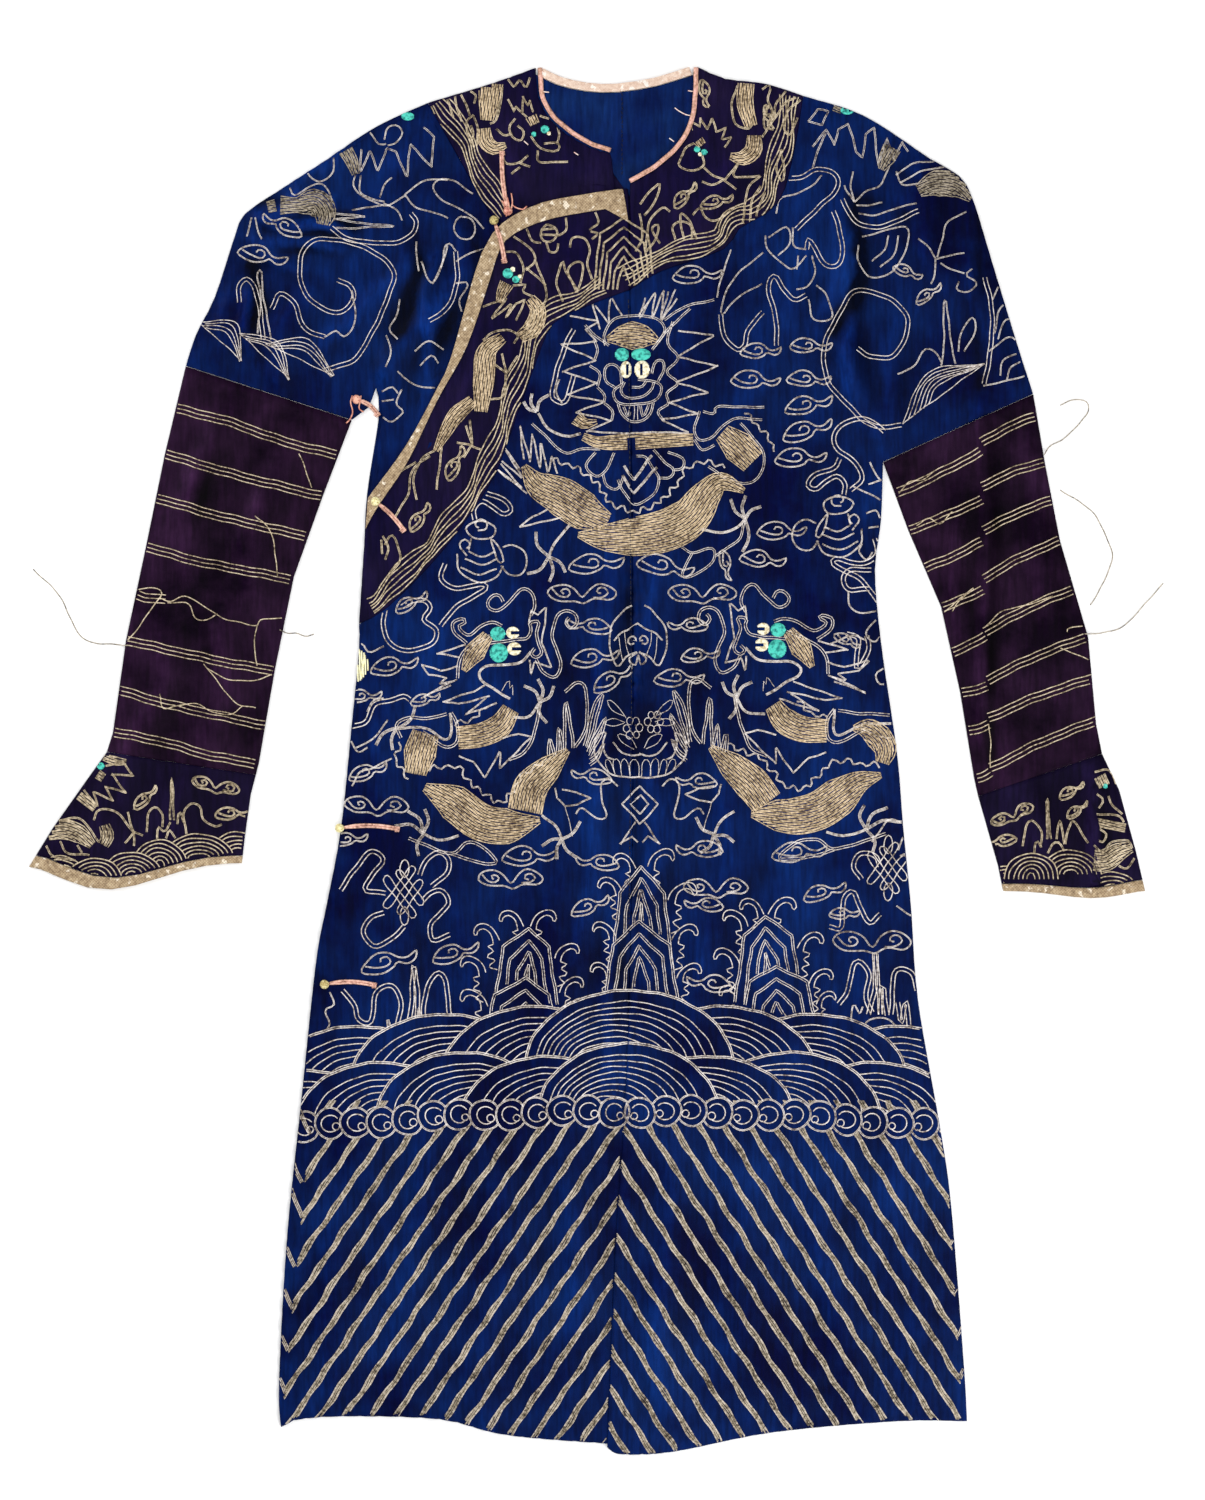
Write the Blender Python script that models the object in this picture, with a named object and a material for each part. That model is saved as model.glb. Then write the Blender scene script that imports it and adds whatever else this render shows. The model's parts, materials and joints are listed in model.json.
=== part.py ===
"""Chinese dragon robe laid flat on its back, front side up.

The robe lies in the XY plane with the neck towards +Y and the hem towards -Y. Its origin is
on the surface it lies on, in the middle of its outline. Right and left are the wearer's, so
the right side of the robe is at -X. Tables are in millimetres, and solids are in metres.
"""
from collections import namedtuple
from math import ceil, cos, exp, hypot, pi, sin

import bmesh
import bpy
from mathutils import Vector
from mathutils.geometry import delaunay_2d_cdt

MM = 0.001

# Cloth and layers
WALL = 1.2            # lined silk with its couching
SEAM_GAP = 0.3        # between two pieces at a seam, and between two layers
LAYER = WALL + SEAM_GAP
BRAID_WALL = 1.0      # woven braid laid on the cloth
LINING_WALL = 1.0
FRONT_GRID = 24.0     # spacing of the points of a front panel
BACK_GRID = 80.0      # the same on the back, which lies flat
HIDDEN_EVERY = 3      # one grid point in three is kept where the inner front is covered
EDGE_STEP = 20.0      # spacing of the points along a curved outline
STRAIGHT_STEP = 45.0  # the same along a straight one
SLEEVE_POINTS = 9     # points across the top of a sleeve
SIDE_ROUND = 1.5      # how far in the fold at the side of a sleeve reaches its full height
SLEEVE_ROWS = 3       # rings in each stretch of a sleeve
CUFF_ROWS = 2
CLOSEST_POINTS = 0.5  # points of an outline nearer than this are one point
SHARP_CORNER = 0.5    # the inset of a corner grows no more than one over this
ROW_PITCH = 0.87      # rows of grid points, as a share of the grid
RIM_SPARE = 0.45      # grid points keep this share of the grid clear of the outline
GUIDE_SPARE = 0.4     # and this share clear of a guide line
SHARP_ANGLE = 0.7     # edges sharper than this, in radians, are shaded as edges

# Neck, closure and vent
BINDING_WIDTH = 8.5   # bound back neck
CORD_WIDTH = 3.6      # corded edge of the front neck
UNDERLAP_HEM = -640.0
UNDERLAP_INSET = 3.0  # the inner front stops this far inside the side seam
VENT_TOP = -175.0     # where the centre front seam opens
VENT_BLEND = 70.0
VENT_FLAT = 42.0      # the cloth lies flat this far each side of the vent
VENT_FADE = 72.0      # and has its folds again from here
VENT_CLEAR = 0.1      # more than a layer, where the left front laps over at the vent
UNDERLAP_FLAT = 50.0  # the left front comes down off the underlap from here across
UNDERLAP_FADE = 110.0
CLOSURE_FLAT = 12.0   # the inner front lies flat this near the closure
CLOSURE_FADE = 55.0
LINING_REACH = 16.0   # how far the neck lining runs in under the fronts
BINDING_PROUD = 0.4   # the binding is this much thicker than the cloth
BINDING_SHORT = 4.0   # and ends this far inside the shoulder points
CORD_PROUD = 0.3
CORD_SHORT = 1.0
NECK_FADE = 1.7       # the fronts are down on the back at this many times the neck's size

# Fasteners
LOOP_WIDTH = 4.4
LOOP_HEIGHT = 1.8
LOOP_STEPS = 6
LOOP_SIDES = 8
BUTTON_RADIUS = 4.6

Point = namedtuple("Point", "x y")
NECK_MIDDLE = Point(30, 640)
NECK_HALF_SIZE = Point(100, 82)
Section = namedtuple("Section", "outer_x outer_y inner_x inner_y")
Fold = namedtuple("Fold", "x0 y0 x1 y1 half_width height")
Fastener = namedtuple("Fastener", "name x0 y0 x1 y1 bow")

BACK_NECK = [Point(-47, 693), Point(-27, 683), Point(0, 677), Point(30, 676),
             Point(68, 682), Point(106, 694)]
RIGHT_NECK = [Point(-47, 693), Point(-45, 664), Point(-34, 643), Point(-19, 629),
              Point(4, 616), Point(25, 610)]
LEFT_NECK = [Point(106, 694), Point(104, 649), Point(96, 626), Point(84, 609),
             Point(63, 592), Point(41, 579)]

# The silhouette of the right side, from the neck out to the sleeve's seam
RIGHT_SHOULDER = [Point(-51, 692), Point(-93, 677), Point(-159, 657)]
RIGHT_UPPER_SLEEVE = [Point(-159, 657), Point(-211, 633), Point(-259, 601), Point(-310, 568),
                      Point(-342, 546), Point(-352, 524), Point(-372, 463), Point(-391, 425),
                      Point(-401, 394)]
RIGHT_UNDERARM = [Point(-235, 340), Point(-219, 352), Point(-211, 372)]
RIGHT_SIDE = [Point(-211, 372), Point(-208, 346), Point(-220, 266), Point(-223, 212),
              Point(-228, 110), Point(-235, 38), Point(-246, -68), Point(-260, -143),
              Point(-271, -202), Point(-286, -343), Point(-300, -478), Point(-308, -623),
              Point(-306, -667)]
RIGHT_HEM = [Point(-306, -667), Point(-293, -660), Point(-244, -656), Point(-147, -659),
             Point(-79, -675), Point(44, -685)]

LEFT_SHOULDER = [Point(110, 693), Point(138, 681), Point(179, 676), Point(216, 664)]
LEFT_UPPER_SLEEVE = [Point(216, 664), Point(277, 644), Point(343, 601), Point(372, 584),
                     Point(386, 560), Point(405, 498), Point(430, 416), Point(446, 366)]
LEFT_SIDE = [Point(296, 298), Point(294, 239), Point(288, 190), Point(294, 118),
             Point(310, 7), Point(316, -65), Point(324, -147), Point(331, -240),
             Point(353, -367), Point(364, -444), Point(377, -606), Point(380, -661)]
LEFT_HEM = [Point(380, -661), Point(311, -661), Point(187, -672), Point(95, -690),
            Point(55, -694), Point(28, -693), Point(20, -687)]

# Seams between the pieces
RIGHT_YOKE_SEAM = [Point(-159, 657), Point(-126, 598), Point(-93, 541), Point(-68, 520)]
LEFT_YOKE_SEAM = [Point(216, 664), Point(207, 609), Point(191, 557), Point(152, 531),
                  Point(137, 511), Point(73, 488), Point(43, 470)]
OVERLAP_YOKE_SEAM = [Point(43, 470), Point(-4, 452), Point(-34, 436), Point(-53, 392),
                     Point(-79, 319), Point(-98, 274), Point(-146, 207), Point(-200, 152),
                     Point(-228, 136)]
BACK_YOKE_SEAM = [Point(-159, 657), Point(-120, 590), Point(-60, 530), Point(35, 500),
                  Point(125, 532), Point(190, 590), Point(216, 664)]
CENTRE_SEAM = [Point(41, 579), Point(43, 470), Point(46, 60), Point(43, -200),
               Point(36, -370), Point(28, -490), Point(20, -687)]
CENTRE_BACK = 35.0
BACK_HEM_MIDDLE = Point(CENTRE_BACK, -684)
BACK_LEFT_HEM = [Point(380, -661), Point(311, -661), Point(187, -672), Point(95, -688),
                 BACK_HEM_MIDDLE]
UNDERLAP_EDGE = [Point(25, 610), Point(29, 560), Point(28, 520), Point(14, -640)]

# The closure runs from the throat round to the side under the arm
CLOSURE_EDGE = [Point(36, 571), Point(-44, 557), Point(-85, 536), Point(-100, 516),
                Point(-111, 490), Point(-136, 402), Point(-149, 373), Point(-181, 314),
                Point(-219, 262)]
BAND_INNER_EDGE = [Point(37, 553), Point(-34, 541), Point(-72, 526), Point(-87, 510),
                   Point(-96, 483), Point(-120, 413), Point(-149, 360), Point(-179, 298),
                   Point(-207, 256), Point(-219, 236)]
CENTRE_TOP = Point(41, 571)          # where the centre seam meets the closure
UNDER_OVERLAP = [Point(-260, 0), Point(-330, -700), Point(60, -700), Point(60, 571)]

RIGHT_SLEEVE = [Section(-401.2, 393.5, -235.2, 339.5), Section(-422, 306, -264, 264),
                Section(-441, 213, -293, 183), Section(-461, 119, -312, 90),
                Section(-474, 27, -328, -3), Section(-480, 8, -331, -15)]
RIGHT_CUFF = [Section(-480, 8, -331, -15), Section(-498, -17, -336, -34),
              Section(-534, -68, -342, -77), Section(-558, -107, -345, -103)]
LEFT_SLEEVE = [Section(446.2, 365.5, 296.2, 297.5), Section(458, 296, 321, 230),
               Section(473, 219, 354, 153), Section(501, 123, 373, 68),
               Section(509, 36, 387, -18), Section(515, 6, 391, -36)]
LEFT_CUFF = [Section(515, 6, 391, -36), Section(532, -30, 399, -64),
             Section(549, -92, 411, -106), Section(558, -131, 416, -131)]
RIGHT_CUFF_BULGE = 24.0   # the curved edge of the cuff dips this far below its two ends
LEFT_CUFF_BULGE = 7.0
CUFF_SKEW = 0.7           # below 1 the dip is deepest nearer the outer end
CUFF_SHARPNESS = 2.5
CUFF_DIPS = (0.0, 0.25, 0.7, 1.0)   # share of the dip at each section of the cuff
BRAID_SHARE = 0.29        # the braid takes this share of the cuff's last stretch
BRAID_SEAM = 0.012        # and this share is the gap before it
BRAID_PROUD = 0.25        # the bound edge stands this far over the cuff

# Ridges where the cloth stands off the layer below
FOLDS = [
    Fold(-322, 536, -262, 530, 9, 3.2), Fold(-318, 518, -250, 508, 8, 2.8),
    Fold(-300, 555, -252, 556, 8, 2.4), Fold(-150, 478, -196, 380, 16, 3.0),
    Fold(-186, 500, -232, 420, 14, 2.4), Fold(-346, 470, -300, 400, 14, 1.8),
    Fold(-250, 470, -262, 392, 15, 1.8), Fold(-370, 340, -412, 190, 15, 2.4),
    Fold(-310, 300, -352, 160, 14, 2.2), Fold(-428, 120, -446, 20, 13, 2.0),
    Fold(-366, 130, -380, 10, 13, 2.2), Fold(-400, -20, -420, -80, 12, 1.6),
    Fold(-470, -40, -500, -84, 12, 1.6), Fold(262, 560, 238, 436, 15, 2.8),
    Fold(238, 436, 282, 345, 14, 2.6), Fold(330, 560, 352, 470, 14, 2.2),
    Fold(384, 500, 402, 400, 12, 1.8), Fold(392, 344, 398, 30, 12, 2.6),
    Fold(436, 320, 470, 130, 12, 1.8), Fold(360, 230, 378, 120, 10, 1.8),
    Fold(440, 20, 452, -90, 12, 1.8), Fold(86, 470, 100, 330, 18, 2.0),
    Fold(60, 330, 64, 60, 14, 2.6), Fold(22, 250, 16, -40, 14, 2.4),
    Fold(128, 250, 140, 20, 20, 1.8), Fold(-60, 180, -70, -60, 20, 2.0),
    Fold(230, 330, 236, 120, 18, 2.0), Fold(-150, 90, -160, -120, 20, 1.8),
    Fold(220, 20, 232, -180, 20, 1.6), Fold(90, -60, 96, -330, 18, 2.2),
    Fold(-20, -120, -30, -380, 18, 2.0), Fold(-196, -190, -214, -420, 20, 1.8),
    Fold(270, -230, 292, -480, 20, 1.8), Fold(160, -380, 172, -620, 20, 1.8),
    Fold(-110, -400, -124, -620, 20, 1.8), Fold(76, -420, 80, -640, 14, 2.2),
    Fold(-30, -470, -40, -640, 16, 1.8), Fold(-236, -480, -246, -620, 18, 1.6),
    Fold(326, -520, 336, -630, 16, 1.6), Fold(150, 640, 120, 560, 14, 1.8),
    Fold(-90, 650, -78, 575, 13, 1.8), Fold(190, 620, 200, 540, 14, 1.6),
]
LARGEST_RELIEF = 3.6      # no fold stands further off the cloth below it
SIDE_FALL = 26.0          # relief falls to nothing over this distance from an outline
SIDE_FLAT = 2.0           # and is nothing this near to it
FOLD_REACH = 3            # a fold is felt this many half widths away

FASTENERS = [
    Fastener("neck", -85, 608, -78, 546, 2), Fastener("chest", -93, 539, -82, 496, 2),
    Fastener("underarm", -232, 361, -206, 344, 1), Fastener("side_upper", -214, 259, -182, 226, 2),
    Fastener("side_middle", -246, -68, -188, -69, 3), Fastener("side_lower", -262, -224, -210, -225, 3),
]


def material(name, colour, roughness, metallic=0.0):
    """A plain finish in the colour of the real piece."""
    finish = bpy.data.materials.new(name)
    finish.use_nodes = True
    shader = finish.node_tree.nodes["Principled BSDF"]
    shader.inputs["Base Color"].default_value = (*colour, 1.0)
    shader.inputs["Roughness"].default_value = roughness
    shader.inputs["Metallic"].default_value = metallic
    return finish


def smooth_step(value, low, high):
    t = min(max((value - low) / (high - low), 0.0), 1.0)
    return t * t * (3.0 - 2.0 * t)


def curve_through(points, step=EDGE_STEP):
    """A smooth curve through the points, sampled about every step."""
    path = [Vector((p[0], p[1])) for p in points]
    path = [2 * path[0] - path[1]] + path + [2 * path[-1] - path[-2]]
    curve = []
    for before, start, end, after in zip(path, path[1:], path[2:], path[3:]):
        pieces = max(1, ceil((end - start).length / step))
        for i in range(pieces):
            t = i / pieces
            curve.append(0.5 * (2 * start + (end - before) * t
                                + (2 * before - 5 * start + 4 * end - after) * t * t
                                + (3 * start - before - 3 * end + after) * t ** 3))
    curve.append(path[-2])
    return curve


def offset_curve(points, distance, side):
    """A curve through the points, moved to its left (side 1) or its right (side -1)."""
    line = curve_through(points)
    moved = []
    for i, point in enumerate(line):
        ahead = (line[min(i + 1, len(line) - 1)] - line[max(i - 1, 0)]).normalized()
        moved.append(point + Vector((-ahead.y, ahead.x)) * side * distance)
    return moved


def neck_inner_curve(spare=0.0):
    """The back neck inside its binding."""
    return offset_curve(BACK_NECK, BINDING_WIDTH + spare, -1)


def closed_outline(*stretches):
    """Joins curves end to end, each turned round where that is needed to meet the last."""
    outline = []
    for stretch in stretches:
        if len(stretch) == 2:
            points = curve_through(stretch, STRAIGHT_STEP)
        elif isinstance(stretch[0], Vector):
            points = list(stretch)
        else:
            points = curve_through(stretch)
        if outline and (points[-1] - outline[-1]).length < (points[0] - outline[-1]).length:
            points.reverse()
        for point in points:
            if not outline or (point - outline[-1]).length > CLOSEST_POINTS:
                outline.append(point)
    if (outline[0] - outline[-1]).length < CLOSEST_POINTS:
        outline.pop()
    if signed_area(outline) < 0:
        outline.reverse()
    return outline


def signed_area(outline):
    turned = outline[1:] + outline[:1]
    return 0.5 * sum(a.x * b.y - b.x * a.y for a, b in zip(outline, turned))


def inset(outline, distance):
    """Moves a counter-clockwise outline inwards by a small distance."""
    moved = []
    count = len(outline)
    for i, point in enumerate(outline):
        ahead = (outline[(i + 1) % count] - point).normalized()
        behind = (point - outline[i - 1]).normalized()
        inward = Vector((-ahead.y - behind.y, ahead.x + behind.x))
        spread = max(SHARP_CORNER, inward.length / 2)
        moved.append(point + inward.normalized() * distance / spread)
    return moved


def inside(x, y, outline):
    hit = False
    for a, b in zip(outline, outline[1:] + outline[:1]):
        if (a.y > y) != (b.y > y) and x < a.x + (y - a.y) / (b.y - a.y) * (b.x - a.x):
            hit = not hit
    return hit


def segment_distance(x, y, ax, ay, bx, by):
    run_x, run_y = bx - ax, by - ay
    t = ((x - ax) * run_x + (y - ay) * run_y) / max(run_x * run_x + run_y * run_y, 1e-9)
    t = min(max(t, 0.0), 1.0)
    return hypot(x - ax - t * run_x, y - ay - t * run_y)


def path_distance(x, y, path):
    return min(segment_distance(x, y, a[0], a[1], b[0], b[1]) for a, b in zip(path, path[1:]))


SILHOUETTES = [
    RIGHT_SHOULDER + RIGHT_UPPER_SLEEVE[1:],
    [Point(s.outer_x, s.outer_y) for s in RIGHT_SLEEVE + RIGHT_CUFF[1:]],
    [Point(s.inner_x, s.inner_y) for s in RIGHT_SLEEVE + RIGHT_CUFF[1:]],
    RIGHT_UNDERARM + RIGHT_SIDE[1:] + RIGHT_HEM[1:],
    LEFT_SHOULDER + LEFT_UPPER_SLEEVE[1:],
    [Point(s.outer_x, s.outer_y) for s in LEFT_SLEEVE + LEFT_CUFF[1:]],
    [Point(s.inner_x, s.inner_y) for s in LEFT_SLEEVE + LEFT_CUFF[1:]],
    LEFT_SIDE + LEFT_HEM[1:],
    RIGHT_NECK, LEFT_NECK,
]


def relief(x, y):
    """How far the folds lift the cloth at a place, nothing at the outlines."""
    rise = 0.0
    for fold in FOLDS:
        away = segment_distance(x, y, fold.x0, fold.y0, fold.x1, fold.y1)
        if away < FOLD_REACH * fold.half_width:
            rise += fold.height * exp(-(away / fold.half_width) ** 2)
    edge = min(path_distance(x, y, path) for path in SILHOUETTES)
    return min(rise, LARGEST_RELIEF) * smooth_step(edge, SIDE_FLAT, SIDE_FALL)


def neck_rise(x, y):
    """The fronts climb over the lining round the neck opening."""
    reach = hypot((x - NECK_MIDDLE.x) / NECK_HALF_SIZE.x, (y - NECK_MIDDLE.y) / NECK_HALF_SIZE.y)
    return (LINING_WALL + SEAM_GAP) * (1.0 - smooth_step(reach, 1.0, NECK_FADE))


def inner_front_top(x, y):
    """Top of the layer that lies on the back: the inner right front and the right sleeve."""
    clear = smooth_step(path_distance(x, y, CLOSURE_EDGE), CLOSURE_FLAT, CLOSURE_FADE)
    covered = inside(x, y, COVERED)
    folds = 0.0 if covered else clear * relief(x, y)
    return LAYER + WALL + neck_rise(x, y) + folds


def centre_x(y):
    """The centre front seam's place at a height."""
    for a, b in zip(CENTRE_SEAM, CENTRE_SEAM[1:]):
        if b.y <= y <= a.y:
            return a.x + (a.y - y) / (a.y - b.y) * (b.x - a.x)
    return CENTRE_SEAM[0].x if y > CENTRE_SEAM[0].y else CENTRE_SEAM[-1].x


def outer_front_base(x, y):
    """The outer right front lies on the inner one, the left front on the back alone."""
    on_underlap = 1.0 - smooth_step(x, UNDERLAP_FLAT, UNDERLAP_FADE)
    return LAYER + WALL + LAYER * on_underlap + neck_rise(x, y)


def near_vent(x, y):
    """One where the two fronts lap at the open vent, nothing away from it."""
    along = 1.0 - smooth_step(y, VENT_TOP - VENT_BLEND, VENT_TOP)
    across = 1.0 - smooth_step(abs(x - centre_x(y)), VENT_FLAT, VENT_FADE)
    return along * across


def overlap_top(x, y):
    return outer_front_base(x, y) + relief(x, y) * (1.0 - near_vent(x, y))


def left_front_top(x, y):
    return overlap_top(x, y) + (LAYER + VENT_CLEAR) * near_vent(x, y)


def back_top(x, y):
    return WALL


def lining_top(x, y):
    return WALL + SEAM_GAP + LINING_WALL


def add_object(name, mesh_builder, finish):
    mesh = bpy.data.meshes.new(name)
    mesh_builder.to_mesh(mesh)
    mesh_builder.free()
    mesh.materials.append(finish)
    mesh.shade_smooth()
    mesh.set_sharp_from_angle(angle=SHARP_ANGLE)
    thing = bpy.data.objects.new(name, mesh)
    bpy.context.collection.objects.link(thing)
    return thing


def filled_sheet(outline, grid, guides=(), hidden=None):
    """Triangles over an outline, with a grid of points inside and guide lines kept as edges."""
    points = list(outline)
    edges = [(i, (i + 1) % len(outline)) for i in range(len(outline))]
    for guide in guides:
        first = len(points)
        points.extend(guide)
        edges.extend((first + i, first + i + 1) for i in range(len(guide) - 1))
    rim = list(outline) + [outline[0]]
    low_x, high_x = min(p.x for p in outline), max(p.x for p in outline)
    low_y, high_y = min(p.y for p in outline), max(p.y for p in outline)
    row = 0
    y = low_y + grid / 2
    while y < high_y:
        x = low_x + grid * (0.5 if row % 2 else 0.0)
        column = 0
        while x < high_x:
            clear = path_distance(x, y, rim) > RIM_SPARE * grid
            if hidden and inside(x, y, hidden):
                clear = clear and row % HIDDEN_EVERY == 0 and column % HIDDEN_EVERY == 0
            clear = clear and all(path_distance(x, y, g) > GUIDE_SPARE * grid for g in guides)
            if clear and inside(x, y, outline):
                points.append(Vector((x, y)))
            x += grid
            column += 1
        row += 1
        y += grid * ROW_PITCH
    spots, _, faces, _, _, _ = delaunay_2d_cdt(points, edges, [], 1, 1e-4)
    return spots, faces


def wall_from(spots, faces, top, wall):
    """A closed wall whose upper face follows a height."""
    build = bmesh.new()
    corners = [build.verts.new((p.x * MM, p.y * MM, (top(p.x, p.y) - wall) * MM)) for p in spots]
    for face in faces:
        build.faces.new([corners[i] for i in face])
    lifted = bmesh.ops.extrude_face_region(build, geom=build.faces[:], use_keep_orig=True)
    raised = [item for item in lifted["geom"] if isinstance(item, bmesh.types.BMVert)]
    bmesh.ops.translate(build, verts=raised, vec=(0, 0, wall * MM))
    loose = [v for v in build.verts if not v.link_faces]
    bmesh.ops.delete(build, geom=loose, context="VERTS")
    bmesh.ops.recalc_face_normals(build, faces=build.faces[:])
    return build


def panel(name, outline, top, finish, grid=FRONT_GRID, wall=WALL, guides=(), hidden=None):
    """One flat-laid piece of cloth, cut half a seam gap inside its outline."""
    cut = inset(outline, SEAM_GAP / 2)
    spots, faces = filled_sheet(cut, grid, guides, hidden)
    add_object(name, wall_from(spots, faces, top, wall), finish)
    return spots, faces


def laid_on(name, sheet, region, top, finish):
    """A strip laid on a panel, made from the panel's own points and moved up."""
    spots, faces = sheet
    kept = []
    for face in faces:
        middle = sum((spots[i] for i in face), Vector((0, 0))) / len(face)
        if inside(middle.x, middle.y, region):
            kept.append(face)
    used = sorted({i for face in kept for i in face})
    place = {old: new for new, old in enumerate(used)}
    own_faces = [[place[i] for i in face] for face in kept]
    add_object(name, wall_from([spots[i] for i in used], own_faces,
                               lambda x, y: top(x, y) + SEAM_GAP + BRAID_WALL, BRAID_WALL), finish)


def strip_between(name, curve, width, side, top, finish, wall, shorten=0.0):
    """A narrow strip that follows a curve, on one side of it."""
    line = curve_through(curve, EDGE_STEP)
    rows = []
    for i, point in enumerate(line):
        ahead = (line[min(i + 1, len(line) - 1)] - line[max(i - 1, 0)]).normalized()
        across = Vector((-ahead.y, ahead.x)) * side
        if i == 0:
            point = point + ahead * shorten
        if i == len(line) - 1:
            point = point - ahead * shorten
        rows.append((point, point + across * width))
    spots = [p for row in rows for p in row]
    faces = [(2 * i, 2 * i + 1, 2 * i + 3, 2 * i + 2) for i in range(len(rows) - 1)]
    add_object(name, wall_from(spots, faces, top, wall), finish)


def cuff_bulge(share, depth):
    """The dip of the cuff's edge, deepest towards its outer end."""
    return depth * sin(pi * share ** CUFF_SKEW) ** CUFF_SHARPNESS


def tube_ring(section, bulge, proud):
    """One flattened ring of a sleeve: its outer loop and its inner loop."""
    start = Vector((section.outer_x, section.outer_y))
    across = Vector((section.inner_x, section.inner_y)) - start
    length = across.length
    edge = SIDE_ROUND / length
    shares = [edge] + [(i + 0.5) / SLEEVE_POINTS for i in range(SLEEVE_POINTS)] + [1.0 - edge]

    def place(share):
        return start + across * share - Vector((0, cuff_bulge(share, bulge)))

    full = LAYER + WALL
    outer = [(place(0.0), full / 2)]
    inner = [(place(WALL / length), full / 2)]
    for share in shares:
        spot = place(share)
        height = full + relief(spot.x, spot.y)
        outer.append((spot, height + proud))
        inner.append((spot, height - WALL))
    outer.append((place(1.0), full / 2))
    inner.append((place(1.0 - WALL / length), full / 2))
    for share in reversed(shares):
        outer.append((place(share), 0.0))
        inner.append((place(share), WALL))
    return outer, inner


def section_between(a, b, t):
    return Section(*[p + (q - p) * t for p, q in zip(a, b)])


def flat_tube(name, sections, bulges, finish, rows, proud=0.0):
    """A flattened sleeve: rings joined along its length, open at both ends."""
    rings = []
    for i in range(len(sections) - 1):
        for j in range(rows):
            t = j / rows
            bulge = bulges[i] + (bulges[i + 1] - bulges[i]) * t
            rings.append(tube_ring(section_between(sections[i], sections[i + 1], t), bulge, proud))
    rings.append(tube_ring(sections[-1], bulges[-1], proud))
    build = bmesh.new()
    loops = [[[build.verts.new((p.x * MM, p.y * MM, z * MM)) for p, z in loop] for loop in ring]
             for ring in rings]
    count = len(loops[0][0])
    for (outer_a, inner_a), (outer_b, inner_b) in zip(loops, loops[1:]):
        for i in range(count):
            j = (i + 1) % count
            build.faces.new((outer_a[i], outer_a[j], outer_b[j], outer_b[i]))
            build.faces.new((inner_a[i], inner_b[i], inner_b[j], inner_a[j]))
    for outer, inner in (loops[0], loops[-1]):
        for i in range(count):
            j = (i + 1) % count
            build.faces.new((outer[i], inner[i], inner[j], outer[j]))
    bmesh.ops.recalc_face_normals(build, faces=build.faces[:])
    add_object(name, build, finish)


def sleeve(side, sections, cuff, bulge, dark, edge_silk, braid):
    """Lower sleeve, horse-hoof cuff and the braid round its edge, end to end."""
    last = hypot(sections[-1].outer_x - sections[-2].outer_x,
                 sections[-1].outer_y - sections[-2].outer_y)
    end = section_between(sections[-1], sections[-2], SEAM_GAP / last)
    flat_tube("sleeve_" + side, sections[:-1] + [end], [0.0] * len(sections), dark, SLEEVE_ROWS)
    split = 1.0 - BRAID_SHARE
    cuff_end = section_between(cuff[-2], cuff[-1], split)
    braid_start = section_between(cuff[-2], cuff[-1], split + BRAID_SEAM)
    dips = [bulge * share for share in CUFF_DIPS]
    dip_at_split = dips[2] + (dips[3] - dips[2]) * split
    dip_after = dips[2] + (dips[3] - dips[2]) * (split + BRAID_SEAM)
    flat_tube("cuff_" + side, cuff[:-1] + [cuff_end], dips[:3] + [dip_at_split], edge_silk, CUFF_ROWS)
    flat_tube("cuff_braid_" + side, [braid_start, cuff[-1]], [dip_after, bulge], braid,
              CUFF_ROWS, BRAID_PROUD)


def resting_level(x, y):
    """The highest cloth or braid just round a place."""
    levels = []
    for dx in (-LOOP_WIDTH, 0, LOOP_WIDTH):
        for dy in (-LOOP_WIDTH, 0, LOOP_WIDTH):
            if inside(x + dx, y + dy, COVERED):
                braid = BRAID_WALL + SEAM_GAP if inside(x + dx, y + dy, BAND_REGION) else 0.0
                levels.append(overlap_top(x + dx, y + dy) + braid)
            else:
                levels.append(inner_front_top(x + dx, y + dy))
    return max(levels) + SEAM_GAP


def fastening(row, finish, knot_finish):
    """A narrow loop of rolled silk laid on the cloth, with its knotted ball at one end."""
    start, end = Vector((row.x0, row.y0)), Vector((row.x1, row.y1))
    along = (end - start).normalized()
    across = Vector((-along.y, along.x))
    loop_start = start + along * (BUTTON_RADIUS + SEAM_GAP)
    build = bmesh.new()
    rings = []
    for i in range(LOOP_STEPS + 1):
        t = i / LOOP_STEPS
        middle = loop_start.lerp(end, t) + across * row.bow * sin(pi * t)
        level = resting_level(middle.x, middle.y)
        ring = []
        for k in range(LOOP_SIDES):
            turn = 2 * pi * k / LOOP_SIDES
            spot = middle + across * (LOOP_WIDTH / 2 * cos(turn))
            height = level + LOOP_HEIGHT / 2 * (1 + sin(turn))
            ring.append(build.verts.new((spot.x * MM, spot.y * MM, height * MM)))
        rings.append(ring)
    for a, b in zip(rings, rings[1:]):
        for k in range(LOOP_SIDES):
            build.faces.new((a[k], a[(k + 1) % LOOP_SIDES], b[(k + 1) % LOOP_SIDES], b[k]))
    build.faces.new(rings[0])
    build.faces.new(rings[-1])
    bmesh.ops.recalc_face_normals(build, faces=build.faces[:])
    add_object("loop_" + row.name, build, finish)
    ball = bmesh.new()
    bmesh.ops.create_icosphere(ball, subdivisions=2, radius=BUTTON_RADIUS * MM)
    seat = (resting_level(row.x0, row.y0) + BUTTON_RADIUS) * MM
    bmesh.ops.translate(ball, verts=ball.verts[:], vec=(row.x0 * MM, row.y0 * MM, seat))
    add_object("button_" + row.name, ball, knot_finish)


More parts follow.
